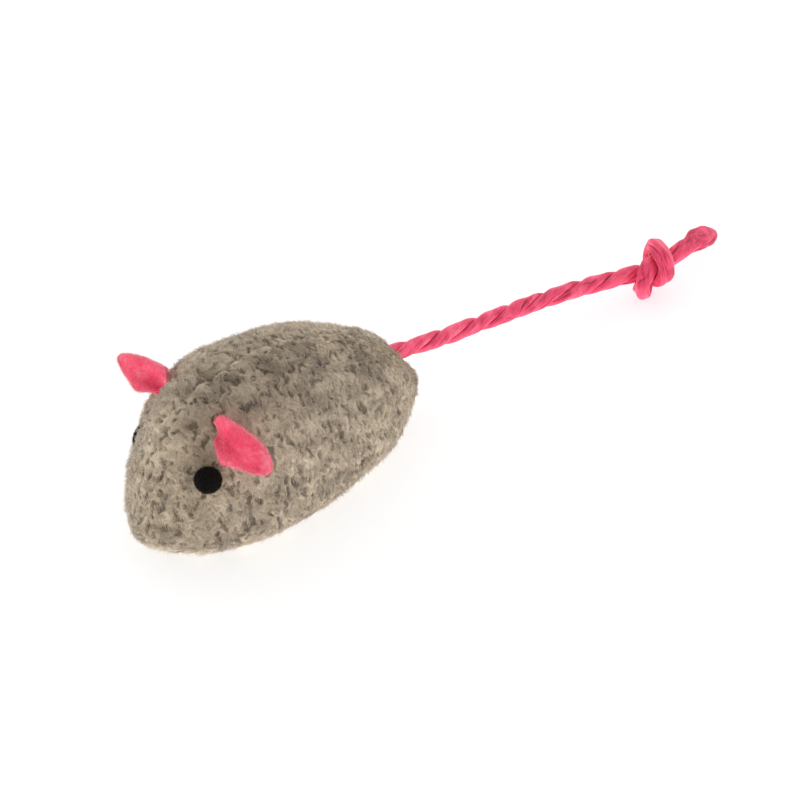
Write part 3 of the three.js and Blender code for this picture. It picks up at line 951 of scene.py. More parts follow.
fleece = {
    "inset": 0.00042,  # from the locks' tops to the skin
    "thick": 0.0011,
    "panelGrid": (380, 236),  # rows from the nose to the rump, and columns across
    "baseGrid": (220, 100),
    "innerColumns": 9,
    "rowEase": 0.35,  # how far the rows crowd towards the nose and the rump
    "poleGap": 0.000001,
    "seamGap": 0.00003,
    "seamHeight": 0.0024,
    "floorGap": 0.00002,
    "floorShare": 0.2,  # of an inset, which lifts the cloth over the floor
    "baseGap": 0.00003,  # under the base
    "baseRoom": 0.0003,  # over its thickness
    "nap": 2.0,  # how many times longer than wide the locks are
    "napAcross": 0.4,  # how far they are drawn out across the back, where 1 is not at all
    "napEnd": 0.12,  # share of the length at each end over which that fades
    "napPole": 0.004,
    "lock": 0.0011,  # length of the waves that the clefts between them follow
    "dome": 0.0021,  # length of the waves that raise the locks
    "warp": 0.0003,  # how far the clefts wander
    "warpLength": 0.0016,
    "cleftRange": (0.08, 0.75),
    "cleftDepth": 0.0003,
    "domeDepth": 0.00014,
    "tone": 0.525,
    # painted shade: how much darker the fleece is in its clefts
    "cleftShade": 0.36,
    "mottle": [(0.1, 0.0019, 312), (0.17, 0.0038, 310), (0.15, 0.011, 311)],  # tone, length, seed
    "patches": [("saddleShade", 0.22, 0.0095), ("crownShade", 0.16, 0.0013)],  # painted shade: how much darker, reach
    "innerTone": 0.4,
    "mapSize": (0.97, 0.94),  # of the outside on its map, and where it starts
    "mapStart": (0.015, 0.05),
    "innerMapSize": (0.96, 0.04),
    "innerMapStart": (0.02, 0.002),
    "colours": [
        (0.0, (0.175, 0.124, 0.078)),
        (0.25, (0.345, 0.265, 0.178)),
        (0.5, (0.54, 0.435, 0.312)),
        (0.75, (0.69, 0.57, 0.42)),
        (1.0, (0.85, 0.72, 0.55)),
    ],
}


# The skin laid out flat, and drawn in down the sides, where the nap runs: what is laid on it lies
# along the nap.
def napPlace(points):
    share = np.clip(points[..., 1] / body["length"] + 0.5, fleece["napPole"], 1 - fleece["napPole"])
    side, crown, belly = halfSizes(share)
    up = points[..., 2] - body["height"] * body["hipShare"]
    angle = np.arctan2(up / np.where(up < 0, belly, crown), np.abs(points[..., 0]) / side)
    down = angle * (side + crown) / 2
    ends = 1 - smooth(share, 0, fleece["napEnd"]) + smooth(share, 1 - fleece["napEnd"], 1)
    across = points[..., 0] * between(fleece["napAcross"], 1, ends)
    return np.stack([across, points[..., 1], down / fleece["nap"]], axis=-1)


# How far into a cleft each point lies, from 0 to 1, and how deep the nap is there. The clefts are
# the tops of one random field, and a second one raises the locks between them.
def locks(points):
    warp = np.stack([waves(points, fleece["warpLength"], seed) for seed in (301, 302, 303)], axis=-1)
    flat = napPlace(points) + fleece["warp"] * warp
    cleft = smooth(waves(flat, fleece["lock"], 304), *fleece["cleftRange"])
    dome = 0.5 - 0.5 * waves(flat, fleece["dome"], 305)
    return cleft, fleece["cleftDepth"] * cleft + fleece["domeDepth"] * dome


# How pale the fleece is: mottled by three random fields, with painted shade that darkens it in the
# clefts, on the saddle and at the crown.
def fleeceToneAndShade(points, cleft):
    tone = fleece["tone"] - fleece["cleftShade"] * cleft
    for strength, length, seed in fleece["mottle"]:
        tone = tone + strength * waves(points, length, seed)
    for name, darker, reach in fleece["patches"]:
        tone = tone - darker * bell(np.linalg.norm(points - onBody(name)[0], axis=-1), reach)
    return tone


# How far below the hip a side panel ends, where it meets the base: the angle at which a cross
# section reaches the seam's height.
def seamAngle(share):
    hip = body["height"] * body["hipShare"]
    drop = np.clip((hip - fleece["seamHeight"]) / halfSizes(share)[2], 0, 1)
    return -np.arcsin(drop ** (1 / body["bellyCornerPower"]))


# The skin with its seams and lumps, moved in by inset along its normal, and that normal.
def sunk(share, angle, inset, mirror=1):
    skin = bodyPoint(share, angle) * [mirror, 1, 1]
    normal = bodyNormal(share, angle) * [mirror, 1, 1]
    under = skin + normal * (relief(skin) - inset)[..., None]
    under[..., 2] = np.maximum(under[..., 2], fleece["floorGap"] + fleece["floorShare"] * inset)
    return under, normal


# The shares and angles of a panel: its rows crowd towards its poles, and its columns run from its
# lower seam to the middle of the back, or on the base from one seam to the other.
def panelGrid(mirror, rows, columns):
    even = np.linspace(0, 1, rows)[:, None]
    crowded = (1 - np.cos(np.pi * even)) / 2
    share = np.clip(between(even, crowded, fleece["rowEase"]), fleece["poleGap"], 1 - fleece["poleGap"])
    low = seamAngle(share)
    start, end = (low, np.pi / 2) if mirror else (-np.pi - low, low)
    return np.broadcast_arrays(share, start + (end - start) * np.linspace(0, 1, columns))


# A closed shell that runs from pole to pole: an outer grid, an inner one with the same rows but
# fewer columns, a rim down each side, and one point for each pole of each grid.
def panelShell(outer, inner):
    rows, columns = outer.shape[:2]
    fewer = inner.shape[1]
    count, extra = (rows - 2) * columns, (rows - 2) * fewer
    points = np.concatenate([
        outer[1:-1].reshape(-1, 3), inner[1:-1].reshape(-1, 3),
        outer[[0, -1]].mean(axis=1), inner[[0, -1]].mean(axis=1)])
    poles = count + extra + np.arange(4)
    quads, fans = [], []
    for start, across, first, last, flip in (
            (0, columns, poles[0], poles[1], 1), (count, fewer, poles[2], poles[3], -1)):
        quads.append(gridFaces(rows - 2, across, False, start)[:, ::flip])
        near = start + np.arange(across)
        far = near + (rows - 3) * across
        fans.append(np.stack([0 * near[1:] + first, near[1:], near[:-1]], axis=-1)[:, ::flip])
        fans.append(np.stack([0 * near[1:] + last, far[:-1], far[1:]], axis=-1)[:, ::flip])
    row = np.arange(rows - 2)
    for edge, way in ((0, 1), (-1, -1)):
        above = np.concatenate([poles[:1], row * columns + edge % columns, poles[1:2]])
        below = np.concatenate([poles[2:3], count + row * fewer + edge % fewer, poles[3:]])
        quads.append(np.stack([above[:-1], above[1:], below[1:], below[:-1]], axis=-1)[:, ::way])
    return points, [np.concatenate(quads), np.concatenate(fans)]


# The cloth under the pile: its tone mark, which holds the fleece's mottle and its painted shade, with a
# fine noise over it.
def fleeceFinish():
    finish = Finish("fleeceCloth", 0.95, Specular_IOR_Level=0.2, Sheen_Weight=0.35)
    fibre = finish.noise(finish.objectPlace(), 4200, detail=4, roughness=0.65, distortion=0.6)
    tone = finish.mark("tone") + 0.35 * (fibre - 0.5)
    finish.feed("Base Color", finish.ramp(tone, fleece["colours"]))
    finish.feed("Roughness", 0.85 + 0.15 * fibre)
    finish.bump(fibre, distance=0.00022)
    return finish.material


# One panel of cloth: the skin sunk by the inset and, on the outside, by the depth of the nap. A
# side panel stops short of the middle plane, and the base lies flat.
def addPanel(name, mirror, node, finish):
    rows, columns = fleece["panelGrid" if mirror else "baseGrid"]
    share, angle = panelGrid(mirror, rows, columns)
    outer, normal = sunk(share, angle, fleece["inset"], mirror or 1)
    innerShare, innerAngle = panelGrid(mirror, rows, fleece["innerColumns"])
    inner, innerNormal = sunk(innerShare, innerAngle, fleece["inset"], mirror or 1)
    cleft, depth = locks(outer)
    tone = fleeceToneAndShade(outer, cleft)
    outer = outer - normal * depth[..., None]
    inner = inner - innerNormal * fleece["thick"]
    if mirror:
        for grid in (outer, inner):
            grid[..., 0] = mirror * np.maximum(mirror * grid[..., 0], fleece["seamGap"])
    else:
        outer[..., 2] = np.maximum(outer[..., 2], fleece["baseGap"])
        inner[..., 2] = np.minimum(inner[..., 2], fleece["baseRoom"] + fleece["thick"])
    points, faces = panelShell(outer, inner)
    faces = [face[:, ::-1] if mirror > 0 else face for face in faces]
    place = np.stack(np.broadcast_arrays(share, np.linspace(0, 1, columns)), axis=-1)
    place = place[1:-1].reshape(-1, 2)
    under = points[len(place):]
    underPlace = np.stack([under[:, 1] / body["length"] + 0.5, np.linspace(0, 1, len(under))], axis=-1)
    uv = np.vstack([place * fleece["mapSize"] + fleece["mapStart"],
                    underPlace * fleece["innerMapSize"] + fleece["innerMapStart"]])
    tones = np.concatenate([tone[1:-1].ravel(), np.full(len(under), fleece["innerTone"])])
    corners = np.concatenate([face.ravel() for face in faces])
    piece = flatMesh(name, points, faces, uv[corners], {"tone": tones})
    finishPiece(piece, "body", "fleece", finish, node)


# The two side panels and the base, in one finish.
def addCloth():
    finish = fleeceFinish()
    addPanel("cloth_left", 1, "body_panel_left", finish)
    addPanel("cloth_right", -1, "body_panel_right", finish)
    addPanel("cloth_base", 0, "base_panel", finish)


addCloth()
print("fleece cloth made")


# Pile: fine fibres that lie along the locks

pile = {
    "spacing": 0.00052,
    "baseSpacing": 0.00088,
    "jitter": 0.3,  # of a spacing, by which a place is moved
    "spineAngle": 40.0,  # degrees, up from the hip, of the line along which rows are spaced
    "spineSteps": 600,
    "spineGap": 0.0001,
    "ringSteps": 160,
    "poleGap": 0.001,
    "earSteps": 24,
    "fibres": 6,  # at each place
    "spread": 0.0003,
    "sink": 0.00004,
    "length": 0.00095,
    "lengthRange": (0.65, 1.2),
    "lean": (27.0, 16.0),  # degrees up from the cloth at the root, and how much that varies
    "drop": (38.0, 15.0),  # degrees that a fibre bends over by
    "curl": 65.0,  # degrees that it may turn sideways
    "sway": 1.0,  # how far the nap turns from straight down the side
    "swayLength": 0.0021,
    "stray": 0.3,  # how far one fibre turns from the others
    "backRange": (-0.0004, 0.0016),  # from the middle of the back, where the nap starts to run down
    "clear": {  # bare within, turned away fully within, turned away at all within, how strongly
        "eye": (0.00155, 0.00155, 0.0026, 2.2),
        "tail": (0.00115, 0.00115, 0.0024, 2.2),
        "ear": (0.00055, 0.0006, 0.0014, 1.5),
    },
    "tone": (0.06, 0.12),  # how much paler than the cloth, and how much that varies
    "radius": 0.00003,
    "radiusRange": (0.75, 1.3),
    "taper": (1, 1, 0.8, 0.3),
    "pieces": 4,  # on each side
    "full": 0.0005,  # height above the clefts at which a fibre's painted shade ends and it is at its palest
    "fullFrom": 0.6,  # of the nap's depth, which counts as no height
    "floorGap": 0.00004,
}


# Roots over the skin in rows across it, one spacing apart, each row starting half a step on, and
# every root then moved a little at random.
def pileRoots(low, high, spacing, seed):
    rng = np.random.default_rng(seed)
    jitter = pile["jitter"]
    shares = np.linspace(0, 1, pile["spineSteps"])
    inside = np.clip(shares, pile["spineGap"], 1 - pile["spineGap"])
    run = runOf(bodyPoint(inside, np.radians(pile["spineAngle"])))
    rows = int(run[-1] / spacing)
    found = []
    for row in range(rows):
        share = np.interp((row + 0.5) / rows * run[-1], run, shares)
        angles = np.linspace(low(share), high(share), pile["ringSteps"])
        turn = runOf(bodyPoint(np.full(len(angles), share), angles))
        count = max(2, int(turn[-1] / spacing))
        wanted = (np.arange(count) + 0.25 + 0.5 * (row % 2)) / count * turn[-1]
        wanted = wanted + spacing * rng.uniform(-jitter, jitter, count)
        angle = np.interp(np.clip(wanted, 0, turn[-1]), turn, angles)
        shift = rng.uniform(-jitter, jitter, count) / rows
        found.append(np.stack([share + shift, angle], axis=-1))
    share, angle = np.concatenate(found).T
    return np.clip(share, pile["poleGap"], 1 - pile["poleGap"]), angle


# Pile: the tone of each fibre, with painted shade that darkens it towards its root, low in the nap and
# in the clefts.
def pileFinish():
    finish = Finish("fleecePile", 0.9, Specular_IOR_Level=0.2, Sheen_Weight=0.66, Sheen_Roughness=0.5)
    tone, height = finish.toneAndHeight()
    colour = finish.ramp(tone, fleece["colours"])
    # painted shade: a fibre is darker low in the nap, where its neighbours shade it
    shade = finish.ramp(height, [
        (0.0, (0.6, 0.58, 0.56)),
        (0.45, (0.85, 0.84, 0.83)),
        (0.8, (1, 1, 1)),
    ])
    finish.feed("Base Color", finish.mix(1.0, colour, shade, "MULTIPLY"))
    finish.feed("Roughness", 0.82 + 0.16 * tone)
    return finish.material


# The line on the cloth along which an ear is sewn in.
def earRootLine(mirror):
    return sunk(*placesBetween("earUpper", "earLower", pile["earSteps"]), fleece["inset"], mirror)[0]


# Turns the fibres that root near a line of spots away from it, and says which root too near.
def keepClear(roots, way, line, clear):
    bare, near, far, strength = clear
    offset = roots - line[np.linalg.norm(roots[:, None] - line, axis=-1).argmin(axis=1)]
    gap = np.linalg.norm(offset, axis=-1)
    pull = (1 - smooth(gap, near, far))[:, None]
    return way + strength * pull * unit(offset), gap < bare


# The fibres at the given places: each roots within the spread of its place, and lies down the side
# with some sway, away from the eye, the ear and the tail.
def addPile(name, share, angle, mirror, finish, seed):
    rng = np.random.default_rng(seed)
    each = pile["fibres"]
    skin, normal = sunk(share, angle, fleece["inset"], mirror)
    side = unit(np.cross(normal, [0.0, 1.0, 0.0]))
    other = np.cross(normal, side)
    spread = np.sqrt(rng.uniform(size=(len(skin), each, 1))) * pile["spread"]
    turn = rng.uniform(0, 2 * np.pi, (len(skin), each, 1))
    roots = skin[:, None] + spread * (np.cos(turn) * side[:, None] + np.sin(turn) * other[:, None])
    roots = roots.reshape(-1, 3)
    normal = np.repeat(normal, each, axis=0)
    sway = np.stack([waves(roots, pile["swayLength"], field) for field in (321, 322, 323)], axis=-1)
    down = unit(np.cross([0.0, 1.0, 0.0], normal)) * mirror
    way = down * smooth(np.abs(roots[:, :1]), *pile["backRange"])
    way = way + pile["sway"] * sway + pile["stray"] * rng.normal(size=roots.shape)
    keep = np.ones(len(roots), bool)
    eye = onBody("eyeLeft" if mirror > 0 else "eyeRight", mirror)[0]
    for spot, line in (("eye", eye[None]), ("tail", tailExit[None]), ("ear", earRootLine(mirror))):
        way, bare = keepClear(roots, way, line, pile["clear"][spot])
        keep &= ~bare
    roots, normal, way = roots[keep], normal[keep], way[keep]
    way = unitAcross(way, normal)
    cleft, depth = locks(roots)
    count = len(roots)
    paler, varies = pile["tone"]
    tone = fleeceToneAndShade(roots, cleft) + varies * rng.normal(size=count) + paler
    length = pile["length"] * rng.uniform(*pile["lengthRange"], count)
    lean, drop = [np.radians(middle + spread * rng.normal(size=count))
                  for middle, spread in (pile["lean"], pile["drop"])]
    curl = np.radians(pile["curl"]) * rng.uniform(-1, 1, count)
    lines = curlingLines(roots - normal * (depth + pile["sink"])[:, None], normal, way,
                         length, lean, drop, curl, len(pile["taper"]))
    deepest = pile["fullFrom"] * (fleece["cleftDepth"] + fleece["domeDepth"])
    heights = ((lines - lines[:, :1]) * normal[:, None]).sum(-1) + (deepest - depth)[:, None]
    lines[..., 2] = np.maximum(lines[..., 2], pile["floorGap"])
    radii = pile["radius"] * rng.uniform(*pile["radiusRange"], count)
    radii = radii[:, None] * np.array(pile["taper"])
    piece = fibreMesh(f"pile_{name}", lines, np.cross(normal, way), radii, tone,
                      heights / pile["full"])
    finishPiece(piece, "body", "fleece", finish)
    return count


# Pile on each side, in pieces from the nose to the rump, and on the base.
def addAllPile():
    finish = pileFinish()
    total = 0
    for side, mirror in (("left", 1), ("right", -1)):
        share, angle = pileRoots(seamAngle, lambda share: np.pi / 2, pile["spacing"], 5 + mirror)
        order = np.argsort(share, kind="stable")
        for part, chosen in enumerate(np.array_split(order, pile["pieces"])):
            total += addPile(f"{side}_{part + 1}", share[chosen], angle[chosen], mirror, finish,
                             100 * part + 10 + mirror)
    share, angle = pileRoots(lambda share: -np.pi - seamAngle(share), seamAngle,
                             pile["baseSpacing"], 9)
    total += addPile("base", share, angle, 1, finish, 900)
    print("pile:", total, "fibres")


addAllPile()


# Ears: petals of felt whose roots are sewn into the darts

ear = {
    "thick": 0.00115,
    "tab": 0.001,
    "rise": 0.00235,
    "cup": 0.0009,
    "pinchShare": 0.06,
    "left": {
        "length": 0.0084,
        "bend": (58.8, 30.1),  # degrees: lean from the skin's normal, skew towards the lower root
        "tipPower": 8.5,
        "upper": (0.0026, 0.06, 0.31),  # reach from the middle line, taper, share where it flares
        "lower": (0.00436, 0.45, 0.29),
    },
    "right": {
        "length": 0.0096,
        "bend": (48.4, 37.8),
        "tipPower": 4.75,
        "upper": (0.0032, 0.51, 0.25),
        "lower": (0.00428, 0.6, 0.36),
    },
    "rows": 90,
    "columns": 56,
    "tipLeast": 0.0004,
    "acrossPower": 0.8,  # under 1 makes the oval of its section squarer
    "throughPower": 0.55,
    "rimPower": 24,  # how late its thickness is rounded off towards the tip
    "rimLeast": 0.02,
    "ripple": 0.00007,
    "rippleLength": 0.0011,
    "rimLightPower": 3,  # how narrow the painted paler rim is, as a power
    "rimLightFrom": 0.75,  # share of the length past which all of it has the painted light of the rim
    "foldShadePlace": 0.3,  # across the ear, where painted shade marks a crease near its root
    "foldShadeWidth": 0.4,
    "foldShadeRise": 0.15,  # shares of the length over which that painted shade starts, and fades
    "foldShadeFade": (0.2, 0.75),
    "bendFrom": 0.06,  # shares of the way from root to tip, at which two points between them are found
    "bendTo": 0.42,
}

feltFuzz = {
    "count": 6000,
    "from": 0.12,  # share of the ear's length
    "sink": 0.00004,
    "length": 0.00046,
    "lengthRange": (0.5, 1.3),
    "lean": (20, 75),  # degrees, from the surface
    "drop": (10, 90),
    "curl": (-80, 80),
    "radius": 0.000015,
    "taper": (1, 0.9, 0.6),
}


# How far an edge of the ear lies from its middle line: pinched at the root, open past the flare,
# and rounded at the tip by the root of 1 less a power of the share.
def edgeReach(share, halfRoot, edge, tipPower):
    half, taper, flare = edge
    tip = np.sqrt(np.clip(1 - share ** tipPower, ear["tipLeast"], 1))
    return between(halfRoot, half * (1 - taper * share) * tip, smooth(share, ear["pinchShare"], flare))


# The felt as a closed sheet: share runs from the root to the tip, and turn goes round its section,
# which is a flat oval. The middle line is a quadratic curve that rises from the dart and bends
# away from the body.
def earSurface(share, turn, mirror):
    shape = ear["left" if mirror > 0 else "right"]
    upper, upperNormal = onBody("earUpper", mirror)
    lower, lowerNormal = onBody("earLower", mirror)
    root = (upper + lower) / 2
    along = unit(lower - upper)
    halfRoot = np.linalg.norm(lower - upper) / 2
    normal = unitAcross(upperNormal + lowerNormal, along)
    outward = np.cross(normal, along) * mirror
    lean, skew = np.radians(shape["bend"])
    reach = (normal * math.cos(lean) * math.cos(skew) + outward * math.sin(lean) * math.cos(skew)
             + along * math.sin(skew))
    start, rise = root - normal * ear["tab"], root + normal * ear["rise"]
    end = root + reach * shape["length"]
    t = share[..., None]
    middle = (1 - t) ** 2 * start + 2 * t * (1 - t) * rise + t ** 2 * end
    face = unit(np.cross(along, (1 - t) * (rise - start) + t * (end - rise))) * mirror
    across = signedPower(np.cos(turn), ear["acrossPower"])
    through = signedPower(np.sin(turn), ear["throughPower"])
    half = np.where(across < 0, *(edgeReach(share, halfRoot, shape[edge], shape["tipPower"])
                                  for edge in ("upper", "lower")))
    thick = ear["thick"] / 2 * np.sqrt(np.clip(1 - share ** ear["rimPower"], ear["rimLeast"], 1))
    cup = ear["cup"] * across ** 2 * (1 - share)
    return middle + along * (across * half)[..., None] + face * (cup + through * thick)[..., None]


# Felt: a fine noise and a coarse one, with painted shade in the crease near the root and painted light
# that makes the rim paler.
def feltFinish():
    finish = Finish("felt", 0.88, Specular_IOR_Level=0.25, Sheen_Weight=0.45, Sheen_Roughness=0.4)
    place = finish.objectPlace()
    mat = finish.noise(place, 1500, detail=5, roughness=0.65, distortion=0.8)
    cloud = finish.noise(place, 420, detail=3, roughness=0.5)
    colour = finish.ramp(0.5 * mat + 0.5 * cloud, [
        (0.34, (0.74, 0.03, 0.095)),
        (0.48, (0.95, 0.07, 0.16)),
        (0.66, (1.0, 0.2, 0.27)),
    ])
    # painted shade in the crease near the root
    shade = finish.ramp(finish.mark("fold"), [(0.0, (1, 1, 1)), (1.0, (0.62, 0.24, 0.38))])
    colour = finish.mix(1.0, colour, shade, "MULTIPLY")
    # painted light: the rim is paler, as if lit through its thin edge
    rim = finish.ramp(finish.mark("rim"), [(0.35, (0, 0, 0)), (1.0, (1, 1, 1))])
    finish.feed("Base Color", finish.mix(0.42 * finish.parts(rim)[0], colour, (1.0, 0.4, 0.48)))
    finish.feed("Roughness", 0.8 + 0.2 * mat)
    finish.bump(mat + 0.5 * finish.noise(place, 5000, detail=2, roughness=0.5),
                distance=0.00012, strength=0.7)
    return finish.material


# Fibres whose colour lies between two by their tone, and that are smoother towards their tips.
def fuzzFinish(name, low, high, roughness, sheen):
    finish = Finish(name, roughness, Specular_IOR_Level=0.2, Sheen_Weight=sheen)
    tone, height = finish.toneAndHeight()
    finish.feed("Base Color", finish.ramp(tone, [(0.1, low), (0.9, high)]))
    finish.feed("Roughness", roughness - 0.1 * height)
    return finish.material


# Fuzz at random places on the felt, with the way out of it from two small steps along and round it.
def earFuzz(side, mirror):
    rng = np.random.default_rng(41 + mirror)
    share = rng.uniform(feltFuzz["from"], 1, feltFuzz["count"])
    turn = rng.uniform(0, 2 * np.pi, feltFuzz["count"])
    points = earSurface(share, turn, mirror)
    along = unit(earSurface(share - nudge, turn, mirror) - points)
    around = unit(earSurface(share, turn + nudge, mirror) - points)
    normal = unit(np.cross(along, around)) * -mirror
    middle = (earSurface(share, 0 * turn, mirror) + earSurface(share, 0 * turn + np.pi, mirror)) / 2
    normal *= np.sign(((points - middle) * normal).sum(-1, keepdims=True))
    return fuzzMesh(f"felt_fuzz_{side}", points - normal * feltFuzz["sink"], normal, feltFuzz, rng)


# One ear: the felt, rippled a little, with marks for the painted light on its rim and for the painted
# shade of a crease near its root, and its fuzz.
def addEar(side, mirror, finish, fuzz):
    rows, columns = ear["rows"], ear["columns"]
    share = np.sin(np.pi / 2 * np.linspace(0, 1, rows))[:, None] + np.zeros(columns)
    turn = mirror * 2 * np.pi * np.arange(columns) / columns + np.zeros((rows, 1))
    points = earSurface(share, turn, mirror)
    out = unit(points - points.mean(axis=1, keepdims=True))
    points = points + out * ear["ripple"] * waves(points, ear["rippleLength"], 31 + mirror)[..., None]
    # painted light on the rim of the felt
    rim = np.maximum(np.abs(np.cos(turn)) ** ear["rimLightPower"], smooth(share, ear["rimLightFrom"], 1))
    # painted shade of a crease near the root
    fold = (bell(np.cos(turn) - ear["foldShadePlace"], ear["foldShadeWidth"])
            * (1 - smooth(share, *ear["foldShadeFade"])) * smooth(share, 0, ear["foldShadeRise"]))
    marks = {"rim": np.concatenate([rim.ravel(), [0, 1]]),
             "fold": np.concatenate([fold.ravel(), [0, 0]])}
    piece = ringMesh(f"felt_ear_{side}", points, marks)
    finishPiece(piece, None, "felt", finish, f"ear_{side}")
    hair = earFuzz(side, mirror)
    finishPiece(hair, None, "felt", fuzz)
    root = earRootLine(mirror).mean(axis=0)
    tip = points[-1].mean(axis=0)
    start = root + (tip - root) * ear["bendFrom"]
    end = root + (tip - root) * ear["bendTo"]
    for made in (piece, hair):
        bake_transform(made)


# Both ears, in one felt.
def addEars():
    finish = feltFinish()
    fuzz = fuzzFinish("feltFuzz", (0.9, 0.09, 0.18), (1.0, 0.3, 0.38), 0.9, 0.3)
    for side, mirror in (("left", 1), ("right", -1)):
        addEar(side, mirror, finish, fuzz)


addEars()
print("ears made")


# Eyes: black pompoms

pompom = {
    "core": 0.00168,
    "flat": 0.72,  # its depth as a share of its width
    "sink": {"left": 0.0002, "right": 0.0017},  # how deep its middle is pressed into the fleece
    "rows": 32,
    "columns": 48,
    "poleGap": 0.04,  # radians
    "lump": 0.05,
    "lumpLength": 0.5,  # of the core
    "fuzz": {
        "count": 4600,
        "sink": 0.00006,
        "length": 0.0004,
        "lengthRange": (0.7, 1.15),
        "lean": (50, 85),  # degrees, from the surface
        "drop": (0, 70),
        "curl": (-60, 60),
        "radius": 0.00003,
        "taper": (1, 0.9, 0.6),
    },
}


# Black tufts, from a noise.
def pompomFinish():
    finish = Finish("pompom", 0.85, Specular_IOR_Level=0.15)
    tuft = finish.noise(finish.objectPlace(), 2600, detail=4, roughness=0.6)
    finish.feed("Base Color", finish.ramp(tuft, [
        (0.3, (0.003, 0.0025, 0.002)), (0.7, (0.012, 0.0095, 0.007))]))
    finish.feed("Roughness", 0.75 + 0.25 * tuft)
    finish.bump(tuft, distance=0.0002)
    return finish.material


# Ways out from a pompom's middle, drawn in along the skin's normal.
def flattened(way, normal):
    return way - (1 - pompom["flat"]) * (way @ normal)[..., None] * normal


# Ways out from a middle, spread evenly over a sphere: equal steps up, each a golden turn round.
def goldenWays(count):
    step = np.arange(count) + 0.5
    up = 1 - 2 * step / count
    turn = step * np.pi * (3 - math.sqrt(5))
    wide = np.sqrt(1 - up ** 2)
    return np.stack([wide * np.cos(turn), wide * np.sin(turn), up], axis=-1)


# One eye: a flattened ball with lumps, pressed into the fleece, and its fibres.
def addEye(side, finish, fuzz, seed):
    spot, skinNormal = onBody("eye" + side.capitalize(), 1 if side == "left" else -1)
    middle = spot - skinNormal * pompom["sink"][side]
    up = np.linspace(pompom["poleGap"], np.pi - pompom["poleGap"], pompom["rows"])[:, None]
    turn = -2 * np.pi * np.arange(pompom["columns"]) / pompom["columns"]
    way = np.stack(np.broadcast_arrays(
        np.sin(up) * np.cos(turn), np.sin(up) * np.sin(turn), np.cos(up)), axis=-1)
    lumps = 1 + pompom["lump"] * waves(way, pompom["lumpLength"], seed)[..., None]
    core = ringMesh(f"pompom_{side}", middle + flattened(way * pompom["core"] * lumps, skinNormal))
    finishPiece(core, "body", "pompom", finish, f"eye_{side}")
    normal = goldenWays(pompom["fuzz"]["count"])
    roots = middle + flattened(normal * (pompom["core"] - pompom["fuzz"]["sink"]), skinNormal)
    rng = np.random.default_rng(seed)
    hair = fuzzMesh(f"pompom_fibre_{side}", roots, normal, pompom["fuzz"], rng)
    finishPiece(hair, "body", "pompom", fuzz)


# Both eyes, in one finish, with a seed for each.
def addEyes():
    finish = pompomFinish()
    fuzz = fuzzFinish("pompomFibre", (0.0035, 0.003, 0.0022), (0.018, 0.0135, 0.009), 0.85, 0.04)
    addEye("left", finish, fuzz, 51)
    addEye("right", finish, fuzz, 52)


addEyes()
print("eyes made")


# Filling, which the fleece hides

stuffing = {
    "inset": 0.003,
    "rows": 60,
    "columns": 72,
    "poleGap": 0.002,
    "shrink": 0.035,  # how far it is drawn in from that inset
    "lump": 0.03,
    "lumpLength": 0.004,
}

catnip = {
    "crumbs": 420,
    "size": 0.0008,
    "sizeRange": (0.6, 1.3),
    "heap": 0.85,  # how much of the solid's box the heap takes up
    "rings": 5,
    "sides": 6,
    "blunt": 0.96,  # nearer 1 makes the ends more pointed
    "wide": 0.55,
    "thick": 0.12,
    "bend": 0.35,
}


# Loose white fibre, from a noise with some swirl.
def fibrefillFinish():
    finish = Finish("fibrefill", 0.9, Sheen_Weight=0.4)
    loose = finish.noise(finish.objectPlace(), 700, detail=5, roughness=0.65, distortion=1.2)
    finish.feed("Base Color", finish.ramp(loose, [
        (0.3, (0.7, 0.68, 0.64)), (0.7, (0.93, 0.92, 0.9))]))
    finish.feed("Roughness", 0.8 + 0.2 * loose)
    finish.bump(loose, distance=0.0006)
    return finish.material


# The body's own form moved in by an inset, drawn in to its middle with lumps, and kept to the box
# of the solid that it stands for.
def addStuffing():
    low, high = (np.array(corner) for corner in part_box("stuffing"))
    share = (1 - np.cos(np.linspace(0, np.pi, stuffing["rows"]))) / 2
    share = np.clip(share, stuffing["poleGap"], 1 - stuffing["poleGap"])[:, None]
    turn = -2 * np.pi * np.arange(stuffing["columns"]) / stuffing["columns"]
    points = bodyPoint(*np.broadcast_arrays(share, turn), stuffing["inset"])
    middle = (low + high) / 2
    drawn = 1 - stuffing["shrink"] - stuffing["lump"] * waves(points, stuffing["lumpLength"], 77)
    points = np.clip(middle + (points - middle) * drawn[..., None], low, high)
    piece = ringMesh("fibrefill", points)
    finishPiece(piece, "body", "fibrefill", fibrefillFinish(), "stuffing")


# Dried leaf: dark, green and straw-coloured patches.
def leafFinish():
    finish = Finish("driedLeaf", 0.8)
    leaf = finish.noise(finish.objectPlace(), 900, detail=3, roughness=0.6)
    finish.feed("Base Color", finish.ramp(leaf, [
        (0.3, (0.06, 0.075, 0.02)), (0.55, (0.14, 0.18, 0.06)), (0.75, (0.3, 0.28, 0.13))]))
    finish.feed("Roughness", 0.7 + 0.25 * leaf)
    finish.bump(leaf, distance=0.0001)
    return finish.material


